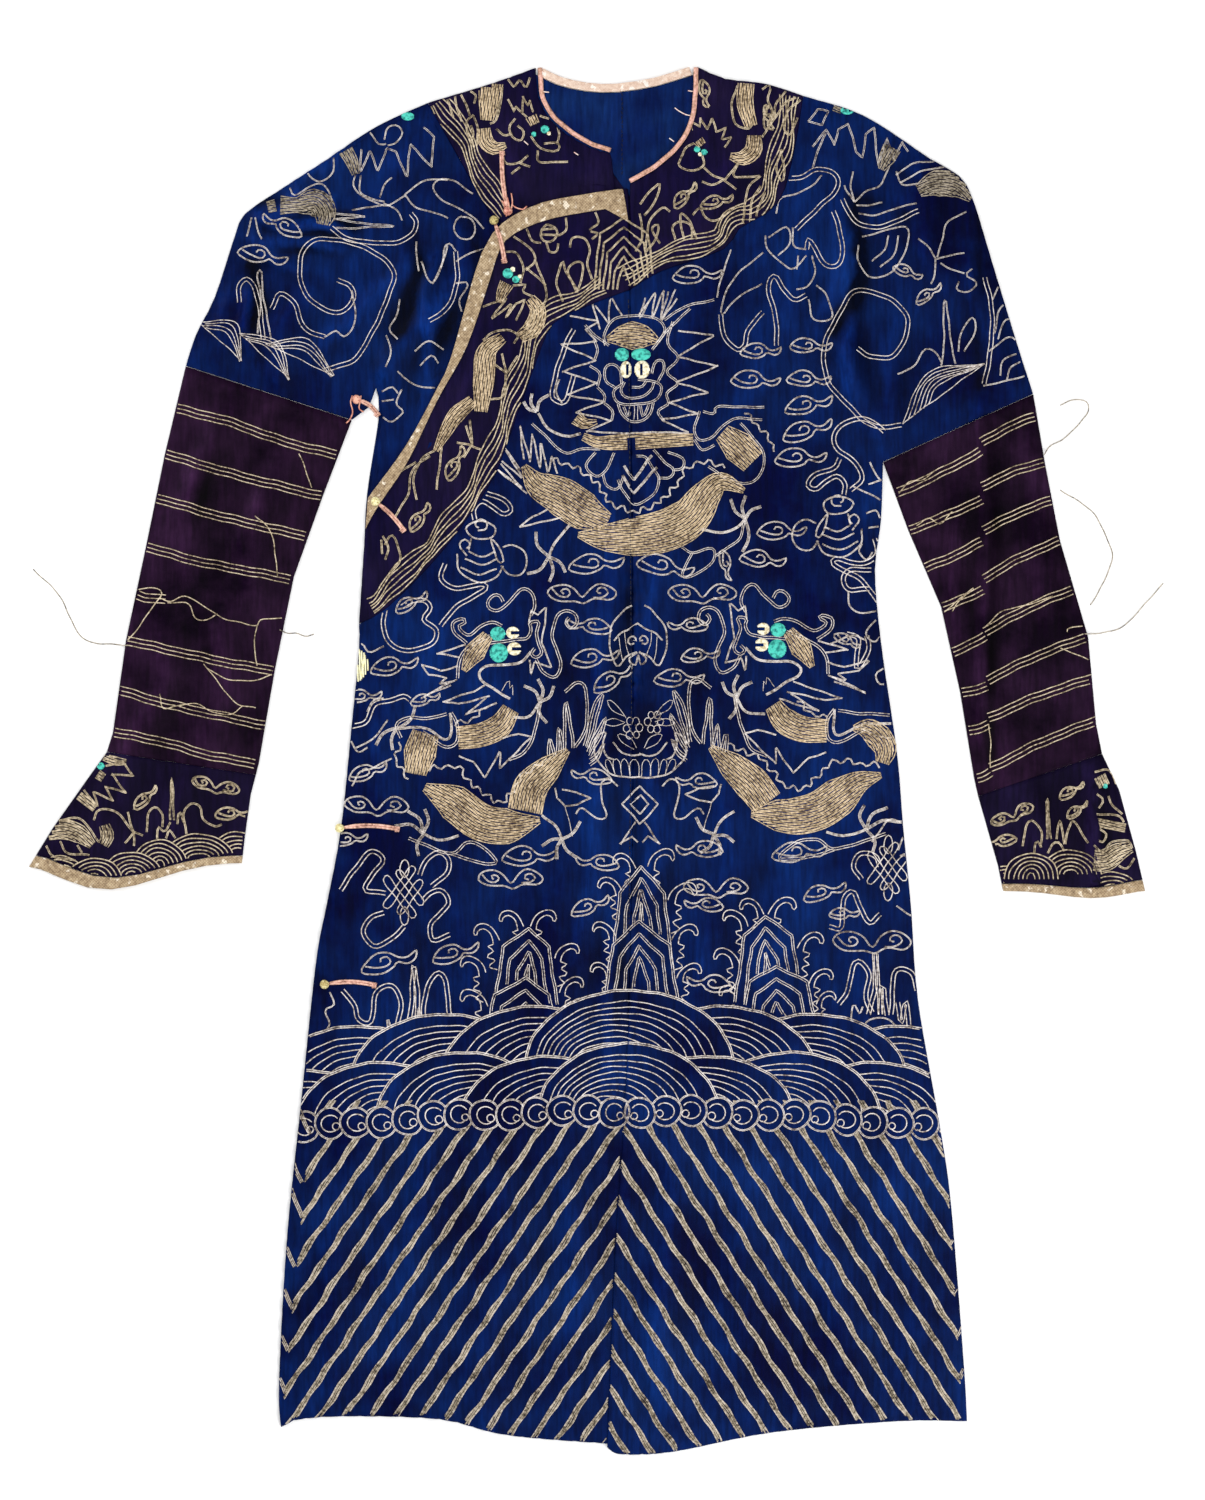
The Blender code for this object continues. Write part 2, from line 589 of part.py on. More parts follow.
COVERED = closed_outline(CLOSURE_EDGE, [CLOSURE_EDGE[-1]] + UNDER_OVERLAP[:2], UNDER_OVERLAP[1:3],
                         UNDER_OVERLAP[2:])
BAND_REGION = closed_outline(CLOSURE_EDGE, [CLOSURE_EDGE[-1], BAND_INNER_EDGE[-1]],
                             BAND_INNER_EDGE, [BAND_INNER_EDGE[0], CLOSURE_EDGE[0]])


def build_back(blue, purple, lining):
    """The back lies flat on the surface: two halves, a yoke and the lining at the neck."""
    right_hem = RIGHT_HEM[:-1] + [BACK_HEM_MIDDLE]
    centre_line = [BACK_HEM_MIDDLE, BACK_YOKE_SEAM[3]]
    seam = curve_through(BACK_YOKE_SEAM)
    right_part = [p for p in seam if p.x < CENTRE_BACK + CLOSEST_POINTS]
    left_part = [p for p in seam if p.x > CENTRE_BACK - CLOSEST_POINTS]
    right = closed_outline(RIGHT_UPPER_SLEEVE, [RIGHT_UPPER_SLEEVE[-1], RIGHT_UNDERARM[0]],
                           RIGHT_UNDERARM, RIGHT_SIDE, right_hem, centre_line, right_part)
    left = closed_outline(LEFT_UPPER_SLEEVE, [LEFT_UPPER_SLEEVE[-1], LEFT_SIDE[0]], LEFT_SIDE,
                          BACK_LEFT_HEM, centre_line, left_part)
    yoke = closed_outline(RIGHT_SHOULDER, BACK_YOKE_SEAM, LEFT_SHOULDER, neck_inner_curve())
    panel("back_right", right, back_top, blue, BACK_GRID)
    panel("back_left", left, back_top, blue, BACK_GRID)
    panel("back_yoke", yoke, back_top, purple, BACK_GRID)
    centre = Vector((CENTRE_BACK, NECK_MIDDLE.y))
    front = [Vector(p) for p in RIGHT_NECK[1:] + LEFT_NECK[:0:-1]]
    under_fronts = [p + (p - centre).normalized() * LINING_REACH for p in front]
    shown = closed_outline(neck_inner_curve(SEAM_GAP), under_fronts)
    panel("back_lining", shown, lining_top, lining, BACK_GRID, LINING_WALL)


def build_fronts(blue, purple, braid):
    inner_side = [Point(p.x + UNDERLAP_INSET, p.y) for p in RIGHT_SIDE if p.y > UNDERLAP_HEM]
    inner_side[0] = RIGHT_SIDE[0]
    inner_side[-1] = Point(inner_side[-1].x, UNDERLAP_HEM)
    yoke_end, edge_top = RIGHT_YOKE_SEAM[-1], UNDERLAP_EDGE[2]
    inner = closed_outline(RIGHT_UPPER_SLEEVE, [RIGHT_UPPER_SLEEVE[-1], RIGHT_UNDERARM[0]],
                           RIGHT_UNDERARM, inner_side, [inner_side[-1], UNDERLAP_EDGE[3]],
                           [UNDERLAP_EDGE[3], edge_top], [edge_top, yoke_end], RIGHT_YOKE_SEAM)
    panel("front_right", inner, inner_front_top, blue, hidden=COVERED)
    right_edge = offset_curve(RIGHT_NECK, CORD_WIDTH + SEAM_GAP, -1)
    right_edge[0] = Vector(RIGHT_SHOULDER[0])
    inner_yoke = closed_outline(RIGHT_SHOULDER, RIGHT_YOKE_SEAM, [yoke_end, edge_top],
                                [edge_top, UNDERLAP_EDGE[1], right_edge[-1]], right_edge)
    panel("front_right_yoke", inner_yoke, inner_front_top, purple)
    yoke_point, side_end = OVERLAP_YOKE_SEAM[0], OVERLAP_YOKE_SEAM[-1]
    facing_side = [CLOSURE_EDGE[-1], RIGHT_SIDE[3], side_end]
    overlap_yoke = closed_outline(CLOSURE_EDGE, facing_side, OVERLAP_YOKE_SEAM,
                                  [yoke_point, CENTRE_TOP], [CENTRE_TOP, CLOSURE_EDGE[0]])
    band_line = [Vector(p) for p in curve_through(BAND_INNER_EDGE)[1:-1]]
    sheet = panel("overlap_yoke", overlap_yoke, overlap_top, purple, FRONT_GRID, WALL, [band_line])
    laid_on("closure_band", sheet, BAND_REGION, overlap_top, braid)
    low_side = [side_end] + [p for p in RIGHT_SIDE if p.y < side_end.y]
    sewn = [p for p in curve_through(CENTRE_SEAM[1:]) if p.y > VENT_TOP - VENT_BLEND]
    overlap = closed_outline(OVERLAP_YOKE_SEAM, low_side, RIGHT_HEM, [RIGHT_HEM[-1], sewn[-1]], sewn)
    panel("overlap_front", overlap, overlap_top, blue)
    left_edge = offset_curve(LEFT_NECK, CORD_WIDTH + SEAM_GAP, 1)
    left_edge[0] = Vector(LEFT_SHOULDER[0])
    left_yoke = closed_outline(LEFT_SHOULDER, LEFT_YOKE_SEAM, [yoke_point, left_edge[-1]], left_edge)
    panel("front_left_yoke", left_yoke, left_front_top, purple)
    left = closed_outline(LEFT_UPPER_SLEEVE, [LEFT_UPPER_SLEEVE[-1], LEFT_SIDE[0]], LEFT_SIDE,
                          LEFT_HEM, CENTRE_SEAM[1:], LEFT_YOKE_SEAM)
    panel("front_left", left, left_front_top, blue)


def build_neck_edges(peach, pink):
    strip_between("neck_binding_back", BACK_NECK, BINDING_WIDTH - SEAM_GAP, -1,
                  lambda x, y: WALL + BINDING_PROUD, peach, WALL + BINDING_PROUD, BINDING_SHORT)
    strip_between("neck_cord_right", RIGHT_NECK, CORD_WIDTH, -1,
                  lambda x, y: inner_front_top(x, y) + CORD_PROUD, pink, WALL + CORD_PROUD,
                  CORD_SHORT)
    strip_between("neck_cord_left", LEFT_NECK, CORD_WIDTH, 1,
                  lambda x, y: left_front_top(x, y) + CORD_PROUD, pink, WALL + CORD_PROUD,
                  CORD_SHORT)


def build_fastenings(strip, knot):
    for row in FASTENERS:
        fastening(row, strip, knot)


def main():
    for thing in list(bpy.data.objects):
        bpy.data.objects.remove(thing)
    blue = material("blue_silk", (0.006, 0.018, 0.125), 0.5)
    purple = material("purple_silk", (0.022, 0.008, 0.026), 0.5)
    cuff_silk = material("cuff_silk", (0.018, 0.012, 0.045), 0.5)
    lining = material("lining_silk", (0.003, 0.028, 0.112), 0.45)
    braid = material("gold_braid", (0.35, 0.24, 0.15), 0.45, 0.3)
    peach = material("peach_binding", (0.68, 0.45, 0.34), 0.5)
    pink = material("pink_cord", (0.5, 0.16, 0.13), 0.55)
    strip = material("loop_strip", (0.42, 0.26, 0.18), 0.5)
    knot = material("button_knot", (0.45, 0.33, 0.16), 0.45)
    build_back(blue, purple, lining)
    build_fronts(blue, purple, braid)
    sleeve("right", RIGHT_SLEEVE, RIGHT_CUFF, RIGHT_CUFF_BULGE, purple, cuff_silk, braid)
    sleeve("left", LEFT_SLEEVE, LEFT_CUFF, LEFT_CUFF_BULGE, purple, cuff_silk, braid)
    build_neck_edges(peach, pink)
    build_fastenings(strip, knot)


main()
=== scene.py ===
import json
from math import cos, hypot, pi, sin

import bmesh
import bpy
import numpy as np
from mathutils import Vector
from mathutils.bvhtree import BVHTree
from mathutils.kdtree import KDTree
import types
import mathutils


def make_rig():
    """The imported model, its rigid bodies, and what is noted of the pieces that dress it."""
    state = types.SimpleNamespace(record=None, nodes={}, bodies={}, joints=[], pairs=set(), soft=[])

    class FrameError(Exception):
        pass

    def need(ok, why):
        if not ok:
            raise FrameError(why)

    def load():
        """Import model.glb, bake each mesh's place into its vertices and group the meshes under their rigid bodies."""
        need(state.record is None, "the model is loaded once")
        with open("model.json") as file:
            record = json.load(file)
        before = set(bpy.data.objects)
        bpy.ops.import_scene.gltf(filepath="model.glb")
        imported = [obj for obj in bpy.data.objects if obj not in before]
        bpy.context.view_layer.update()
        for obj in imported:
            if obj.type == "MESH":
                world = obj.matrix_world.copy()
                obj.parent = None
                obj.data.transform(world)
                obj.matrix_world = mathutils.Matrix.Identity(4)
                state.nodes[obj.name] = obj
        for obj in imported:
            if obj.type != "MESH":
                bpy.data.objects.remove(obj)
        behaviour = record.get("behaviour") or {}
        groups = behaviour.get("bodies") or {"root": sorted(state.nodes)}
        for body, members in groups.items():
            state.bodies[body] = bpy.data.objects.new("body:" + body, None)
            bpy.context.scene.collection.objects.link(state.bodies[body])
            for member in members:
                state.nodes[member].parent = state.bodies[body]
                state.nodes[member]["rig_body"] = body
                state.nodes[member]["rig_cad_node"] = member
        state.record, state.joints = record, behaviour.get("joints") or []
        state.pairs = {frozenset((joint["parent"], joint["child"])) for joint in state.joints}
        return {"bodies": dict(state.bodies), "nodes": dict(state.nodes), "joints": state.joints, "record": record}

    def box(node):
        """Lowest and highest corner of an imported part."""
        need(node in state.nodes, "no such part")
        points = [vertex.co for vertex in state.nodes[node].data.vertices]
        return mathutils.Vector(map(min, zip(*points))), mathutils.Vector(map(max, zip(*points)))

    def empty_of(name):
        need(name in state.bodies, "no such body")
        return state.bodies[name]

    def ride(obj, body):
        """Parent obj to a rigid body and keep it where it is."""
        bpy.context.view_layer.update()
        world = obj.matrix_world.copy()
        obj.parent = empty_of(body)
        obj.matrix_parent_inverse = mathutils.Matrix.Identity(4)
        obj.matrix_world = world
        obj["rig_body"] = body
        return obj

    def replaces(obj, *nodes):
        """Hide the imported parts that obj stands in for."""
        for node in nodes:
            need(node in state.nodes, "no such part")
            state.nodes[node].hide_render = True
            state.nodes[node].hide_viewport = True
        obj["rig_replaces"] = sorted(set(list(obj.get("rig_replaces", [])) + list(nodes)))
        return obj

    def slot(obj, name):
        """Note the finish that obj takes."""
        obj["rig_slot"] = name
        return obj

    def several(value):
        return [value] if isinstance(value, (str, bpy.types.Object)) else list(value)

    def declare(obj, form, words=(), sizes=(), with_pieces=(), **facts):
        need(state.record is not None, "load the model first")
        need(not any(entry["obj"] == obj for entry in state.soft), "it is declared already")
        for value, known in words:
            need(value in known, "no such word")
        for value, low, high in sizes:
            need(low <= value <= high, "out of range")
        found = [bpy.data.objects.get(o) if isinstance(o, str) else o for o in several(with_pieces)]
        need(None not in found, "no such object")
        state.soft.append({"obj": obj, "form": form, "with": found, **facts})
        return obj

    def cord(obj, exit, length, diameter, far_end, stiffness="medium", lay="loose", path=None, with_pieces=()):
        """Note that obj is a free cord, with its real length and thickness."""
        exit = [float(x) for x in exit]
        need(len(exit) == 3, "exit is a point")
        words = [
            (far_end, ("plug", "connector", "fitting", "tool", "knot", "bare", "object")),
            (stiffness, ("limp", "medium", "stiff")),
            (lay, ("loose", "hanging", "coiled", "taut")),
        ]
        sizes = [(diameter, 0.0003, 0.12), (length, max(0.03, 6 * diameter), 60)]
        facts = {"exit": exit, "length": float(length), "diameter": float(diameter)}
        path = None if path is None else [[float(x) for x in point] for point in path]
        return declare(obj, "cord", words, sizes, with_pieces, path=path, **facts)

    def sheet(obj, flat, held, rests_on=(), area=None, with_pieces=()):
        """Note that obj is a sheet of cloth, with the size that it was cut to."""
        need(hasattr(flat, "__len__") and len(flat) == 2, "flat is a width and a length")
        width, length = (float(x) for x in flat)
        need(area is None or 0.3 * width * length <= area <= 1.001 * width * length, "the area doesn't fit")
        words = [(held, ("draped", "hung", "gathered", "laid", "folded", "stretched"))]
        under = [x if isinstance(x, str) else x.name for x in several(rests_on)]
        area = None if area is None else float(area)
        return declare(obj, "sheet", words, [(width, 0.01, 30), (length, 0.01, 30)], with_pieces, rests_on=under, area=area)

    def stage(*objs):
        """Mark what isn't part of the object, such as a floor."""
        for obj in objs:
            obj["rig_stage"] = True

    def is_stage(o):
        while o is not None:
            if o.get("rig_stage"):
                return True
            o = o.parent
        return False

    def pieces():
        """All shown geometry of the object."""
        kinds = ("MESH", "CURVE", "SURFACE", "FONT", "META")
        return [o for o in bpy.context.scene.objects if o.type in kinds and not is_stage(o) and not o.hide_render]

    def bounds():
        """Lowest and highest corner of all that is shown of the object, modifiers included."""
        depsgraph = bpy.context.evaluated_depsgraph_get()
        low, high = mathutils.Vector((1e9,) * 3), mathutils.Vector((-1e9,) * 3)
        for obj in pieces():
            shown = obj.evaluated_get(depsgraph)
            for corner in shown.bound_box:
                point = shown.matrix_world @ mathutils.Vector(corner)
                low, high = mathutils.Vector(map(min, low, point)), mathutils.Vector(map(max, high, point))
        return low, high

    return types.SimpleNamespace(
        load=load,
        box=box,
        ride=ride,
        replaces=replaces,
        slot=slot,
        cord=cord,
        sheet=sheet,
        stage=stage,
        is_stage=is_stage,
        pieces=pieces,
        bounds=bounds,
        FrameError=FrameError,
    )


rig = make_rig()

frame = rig.load()
cad_low, cad_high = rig.bounds()
MM = 0.001

# Camera, floor and light
# The robe is seen square on from above, on a pale floor, under large soft lights that graze
# the cloth a little from the top left so its creases show.
CAMERA_HEIGHT = 5.0
VIEW_HEIGHT = 1.5          # the picture takes in this much of the floor, top to bottom
VIEW_MIDDLE = (0.0155, 0.010)
SENSOR = 36.0
FLOOR_HALF = 6.0
FLOOR_GAP = 0.4 * MM       # the floor lies this far below the robe
DAYLIGHT = 0.62            # strength of the white room round the lights
camera_data = bpy.data.cameras.new("camera")
camera_data.sensor_width = SENSOR
camera_data.lens = SENSOR * CAMERA_HEIGHT / VIEW_HEIGHT
camera_data.clip_end = 50.0
camera = bpy.data.objects.new("camera", camera_data)
camera.location = (*VIEW_MIDDLE, CAMERA_HEIGHT)
bpy.context.collection.objects.link(camera)
bpy.context.scene.camera = camera
bpy.context.scene.view_settings.view_transform = "Standard"


def feed(node, sockets):
    """Gives each named socket of a node its value, or a link from another node's output."""
    for socket, value in sockets.items():
        if isinstance(value, bpy.types.NodeSocket):
            node.id_data.links.new(value, node.inputs[socket])
        else:
            node.inputs[socket].default_value = value


def node_material(name, roughness, specular, metallic=0.0):
    """A new material, its nodes, and its one shader."""
    made = bpy.data.materials.new(name)
    made.use_nodes = True
    shader = made.node_tree.nodes["Principled BSDF"]
    feed(shader, {"Roughness": roughness, "Specular IOR Level": specular, "Metallic": metallic})
    return made, made.node_tree, shader


def colour(red, green, blue):
    """A colour picked as eye values from 0 to 255."""
    def linear(value):
        share = value / 255
        return share / 12.92 if share <= 0.04045 else ((share + 0.055) / 1.055) ** 2.4
    return (linear(red), linear(green), linear(blue), 1.0)


floor_build = bmesh.new()
bmesh.ops.create_grid(floor_build, x_segments=2, y_segments=2, size=FLOOR_HALF)
bmesh.ops.translate(floor_build, verts=floor_build.verts[:], vec=(0, 0, -FLOOR_GAP))
floor_mesh = bpy.data.meshes.new("floor")
floor_build.to_mesh(floor_mesh)
floor_build.free()
floor = bpy.data.objects.new("floor", floor_mesh)
bpy.context.collection.objects.link(floor)
paper, _, paper_shader = node_material("white_paper", 0.9, 0.1)
feed(paper_shader, {"Base Color": (0.93, 0.93, 0.93, 1)})
floor_mesh.materials.append(paper)
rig.stage(floor)

LIGHTS = [  # place, size in metres, watts
    ((-2.0, 1.5, 1.4), 1.3, 38.0), ((0.6, -0.1, 3.2), 2.6, 40.0), ((1.6, -2.0, 1.8), 1.8, 50.0),
]
for number, (place, size, watts) in enumerate(LIGHTS):
    light_data = bpy.data.lights.new("softbox_%d" % number, "AREA")
    light_data.size = size
    light_data.energy = watts
    light = bpy.data.objects.new("softbox_%d" % number, light_data)
    light.location = place
    light.rotation_mode = "QUATERNION"
    light.rotation_quaternion = (-Vector(place)).to_track_quat("-Z", "Y")
    bpy.context.collection.objects.link(light)
world = bpy.data.worlds.new("studio")
bpy.context.scene.world = world
world.use_nodes = True
feed(world.node_tree.nodes["Background"], {"Color": (1, 1, 1, 1), "Strength": DAYLIGHT})

# Blue silk
# The body and upper sleeves are deep blue silk with a soft lustre. It is worn unevenly: the
# dye has gone paler and greener towards the shoulders and in rubbed patches.
WAVES_PER_UNIT = 0.314     # scale of a wave texture whose ribs are one unit apart
WEAVE_PITCH = 0.55 * MM


def add_node(tree, kind, sockets, **options):
    """A new node of a material, with its options set and its sockets fed."""
    node = tree.nodes.new("ShaderNode" + kind)
    for option, value in options.items():
        setattr(node, option, value)
    feed(node, sockets)
    return node


def own_place(tree):
    """The place of each point on its own piece."""
    return add_node(tree, "TexCoord", {}).outputs["Object"]


def mottle(tree, place, scale, detail, roughness=0.5):
    """Soft random grey, finer the higher its scale."""
    sockets = {"Vector": place, "Scale": scale, "Detail": detail, "Roughness": roughness}
    return add_node(tree, "TexNoise", sockets).outputs["Fac"]


def stretched(tree, value, low, high, to_low=0.0, to_high=1.0):
    """A grey stretched so that low and high come to two other values."""
    sockets = {"Value": value, "From Min": low, "From Max": high, "To Min": to_low,
               "To Max": to_high}
    return add_node(tree, "MapRange", sockets).outputs["Result"]


def blended(tree, share, first, second, blend_type="MIX", data_type="RGBA"):
    """Two colours or greys mixed or multiplied by a share."""
    sockets = {"Factor": share, "A": first, "B": second}
    return add_node(tree, "Mix", sockets, data_type=data_type,
                    blend_type=blend_type).outputs["Result"]


def ribbed(tree, place, pitch, direction, **sockets):
    """Even ribs one way, a pitch apart."""
    sockets = {"Vector": place, "Scale": WAVES_PER_UNIT / pitch, **sockets}
    return add_node(tree, "TexWave", sockets, bands_direction=direction).outputs["Fac"]


def crossing(tree, one_way, other_way):
    """Two sets of ribs that cross, the higher one on top."""
    return add_node(tree, "Math", {0: one_way, 1: other_way}, operation="MAXIMUM").outputs["Value"]


def raised(tree, height, strength, distance, **under):
    """Relief from a grey, over other relief if there is any."""
    sockets = {"Height": height, "Strength": strength, "Distance": distance, **under}
    return add_node(tree, "Bump", sockets).outputs["Normal"]


def cloth_material(name, deep, worn, wear_size, roughness=0.5):
    """Silk with a fine plain weave, slubs and worn patches, with painted fold shading: painted shade in the hollows,
    painted light on the ridges.
    """
    made, tree, shader = node_material(name, roughness, 0.03)
    place = own_place(tree)
    worn_share = stretched(tree, mottle(tree, place, 1.0 / wear_size, 5.0, 0.62), 0.38, 0.72)
    dyed = blended(tree, worn_share, deep, worn)
    along_warp = add_node(tree, "Mapping", {"Vector": place, "Scale": (1.0, 0.12, 1.0)})
    slubs = mottle(tree, along_warp.outputs["Vector"], 260.0, 2.0)
    slubbed = blended(tree, 0.75, dyed, stretched(tree, slubs, 0.3, 0.7, 0.55, 1.35), "MULTIPLY")
    # Painted shade and light: each corner's painted fold shade scales the colour from 0.12 in hollows to 1.9 on lit
    # ridges.
    fold_shade = add_node(tree, "Attribute", {}, attribute_name="painted_fold_shade").outputs["Fac"]
    folded = blended(tree, 1.0, slubbed, stretched(tree, fold_shade, 0.0, 1.0, 0.12, 1.9), "MULTIPLY")
    warp, weft = (ribbed(tree, place, WEAVE_PITCH, direction, Distortion=0.6, Detail=1.0)
                  for direction in "XY")
    crumple = raised(tree, mottle(tree, place, 70.0, 6.0, 0.6), 0.55, 1.6 * MM)
    weave = raised(tree, crossing(tree, warp, weft), 0.3, 0.12 * MM, Normal=crumple)
    feed(shader, {"Base Color": folded, "Normal": weave})
    return made


blue_silk = cloth_material("blue_cloth", colour(0, 3, 42), colour(4, 34, 91), 0.16)
purple_silk = cloth_material("purple_cloth", colour(8, 0, 13), colour(44, 22, 48), 0.1)
yoke_silk = cloth_material("yoke_cloth", colour(8, 4, 38), colour(24, 16, 44), 0.12)
cuff_silk = cloth_material("cuff_cloth", colour(10, 4, 26), colour(22, 14, 44), 0.1)
lining_silk = cloth_material("lining_cloth", colour(2, 18, 66), colour(10, 38, 88), 0.07, 0.46)
SILKS = [blue_silk, purple_silk, yoke_silk, cuff_silk, lining_silk]

# The lie of the cloth
# The robe was folded away and then spread by hand. Its creases are laid here as soft ridges,
# each from one place to another, so every piece and every thread on it lifts with them.
# Places on the cloth are in millimetres, across from the left and down from the top.
ACROSS_DATUM = 587.0
DOWN_DATUM = 760.0


def across(u):
    """A place across the cloth as metres in the scene."""
    return (u - ACROSS_DATUM) * MM


def down(v):
    """A place down the cloth as metres in the scene."""
    return (DOWN_DATUM - v) * MM


def places_of(corners):
    """Corners of a mesh as places on the cloth, in arrays across and down."""
    places = np.array([(corner.co.x, corner.co.y) for corner in corners])
    return places[:, 0] / MM + ACROSS_DATUM, DOWN_DATUM - places[:, 1] / MM


CREASES = [  # from across, down, to across, down, half width, height
    (262, 222, 330, 232, 7, 4.2), (256, 240, 338, 252, 6, 3.4), (276, 206, 340, 206, 7, 3.0),
    (246, 258, 300, 268, 7, 2.2), (440, 282, 386, 392, 15, 4.4), (414, 262, 352, 340, 14, 3.0),
    (300, 300, 268, 372, 12, 2.4), (236, 300, 214, 360, 12, 2.2), (470, 240, 446, 300, 10, 2.4),
    (350, 120, 300, 190, 16, 2.2), (420, 130, 392, 190, 16, 2.4), (330, 350, 356, 300, 9, 2.2),
    (222, 420, 178, 570, 14, 3.0), (286, 460, 238, 600, 15, 2.6), (170, 600, 150, 720, 13, 2.6),
    (226, 630, 212, 750, 14, 2.6), (190, 470, 176, 520, 8, 1.8), (252, 500, 240, 560, 9, 1.8),
    (150, 700, 118, 800, 10, 2.2), (190, 770, 170, 850, 11, 1.8), (110, 790, 84, 850, 10, 1.6),
    (846, 206, 826, 336, 15, 4.0), (826, 336, 872, 418, 13, 3.6), (800, 250, 800, 350, 16, 2.2),
    (916, 200, 944, 292, 13, 2.6), (972, 250, 990, 360, 10, 2.2), (900, 330, 880, 430, 10, 2.4),
    (930, 170, 880, 220, 14, 2.0), (980, 410, 984, 740, 8, 3.6), (1022, 440, 1056, 640, 12, 2.4),
    (948, 520, 966, 650, 9, 2.2), (1026, 760, 1040, 860, 12, 2.0), (1092, 770, 1092, 890, 5, 3.2),
    (1000, 700, 1006, 840, 9, 2.2), (650, 440, 648, 700, 11, 3.4), (606, 480, 602, 800, 12, 3.0),
    (668, 560, 676, 760, 14, 2.4), (700, 300, 690, 470, 18, 2.2), (560, 560, 556, 760, 16, 2.2),
    (716, 700, 724, 900, 15, 2.2), (590, 780, 584, 960, 12, 2.6), (646, 780, 650, 980, 13, 2.8),
    (500, 600, 492, 760, 20, 2.0), (440, 620, 430, 800, 18, 2.0), (392, 700, 380, 880, 18, 2.2),
    (800, 460, 806, 640, 20, 2.4), (846, 520, 850, 700, 16, 2.4), (760, 330, 750, 430, 18, 1.8),
    (700, 900, 706, 1100, 16, 2.4), (780, 860, 786, 1050, 20, 2.0), (856, 840, 862, 1040, 18, 2.2),
    (560, 900, 552, 1090, 16, 2.4), (470, 880, 462, 1080, 20, 2.0), (390, 960, 380, 1180, 18, 2.2),
    (664, 1140, 668, 1400, 15, 2.6), (740, 1160, 748, 1390, 20, 2.0),
    (830, 1130, 842, 1380, 20, 2.4), (900, 1120, 912, 1330, 16, 2.0),
    (576, 1130, 566, 1400, 15, 2.4), (500, 1160, 486, 1400, 20, 2.2),
    (420, 1140, 404, 1390, 18, 2.2), (346, 1120, 332, 1390, 16, 2.2), (760, 150, 700, 210, 12, 2.2),
    (505, 130, 520, 190, 11, 2.0), (560, 160, 600, 196, 10, 1.6), (700, 240, 660, 250, 9, 1.8),
    (250, 285, 236, 345, 5, 3.6), (242, 300, 252, 352, 5, 3.2), (432, 262, 424, 330, 7, 3.8),
    (446, 300, 420, 384, 7, 3.4), (262, 216, 320, 214, 5, 3.4), (300, 226, 352, 236, 5, 3.0),
    (852, 240, 846, 300, 7, 3.4), (846, 300, 850, 392, 7, 3.4), (634, 560, 632, 1000, 5, 2.2),
    (618, 880, 602, 1090, 6, 2.6), (598, 600, 600, 760, 6, 2.0), (1092, 776, 1091, 896, 4, 3.0),
    (480, 330, 452, 430, 9, 1.8), (560, 250, 520, 300, 10, 1.8), (420, 520, 400, 580, 10, 1.8),
]
CREASE_DEPTH = 1.5
CREASE_BOW = 0.55          # how far a crease wanders off its line, as a share of its half width
CREASE_BENDS = 1.6         # half waves of that wandering from end to end
STEEP_SIDE, EASY_SIDE = 1.25, 0.75
CREASE_ENDS = 0.35         # height left where a crease runs out
RIPPLE_SWAY = (1.3, 71.0)  # how far and how fast the ripples sway, down the cloth
QUIET_EDGE = 16.0          # the sewn outlines hold the cloth down over this distance
RIPPLES = [  # ripples all over: across and down wavelengths, height, phase
    (97.0, 240.0, 0.5, 0.3), (61.0, -170.0, 0.35, 1.7), (43.0, 118.0, 0.25, 4.1),
    (29.0, -83.0, 0.16, 2.2), (23.0, 47.0, 0.11, 0.9),
]


def off_line(u, v, u0, v0, u1, v1):
    """How far along a line the nearest point to each place is, and the way from it."""
    run_u, run_v = u1 - u0, v1 - v0
    share = np.clip(((u - u0) * run_u + (v - v0) * run_v) / (run_u ** 2 + run_v ** 2), 0, 1)
    return share, u - u0 - share * run_u, v - v0 - share * run_v


def lift(u, v):
    """How far the cloth stands off the layer below, in millimetres, for arrays of places."""
    rise = np.zeros_like(u)
    for number, (u0, v0, u1, v1, half, height) in enumerate(CREASES):
        share, off_u, off_v = off_line(u, v, u0, v0, u1, v1)
        run_u, run_v = u1 - u0, v1 - v0
        bow = half * CREASE_BOW * np.sin(share * pi * CREASE_BENDS + number)
        off_u = off_u + run_v / hypot(run_u, run_v) * bow
        off_v = off_v - run_u / hypot(run_u, run_v) * bow
        slope = np.where(off_u * run_v > off_v * run_u, EASY_SIDE, STEEP_SIDE)
        away = np.hypot(off_u, off_v) / half * slope
        taper = CREASE_ENDS + (1 - CREASE_ENDS) * np.sin(pi * (0.1 + 0.8 * share))
        rise += height * CREASE_DEPTH * taper * np.exp(-away ** 2)
    for wide, tall, height, phase in RIPPLES:
        sway = RIPPLE_SWAY[0] * np.sin(v / RIPPLE_SWAY[1])
        rise += height * (1 + np.sin(2 * pi * (u / wide + v / tall) + phase + sway))
    return rise
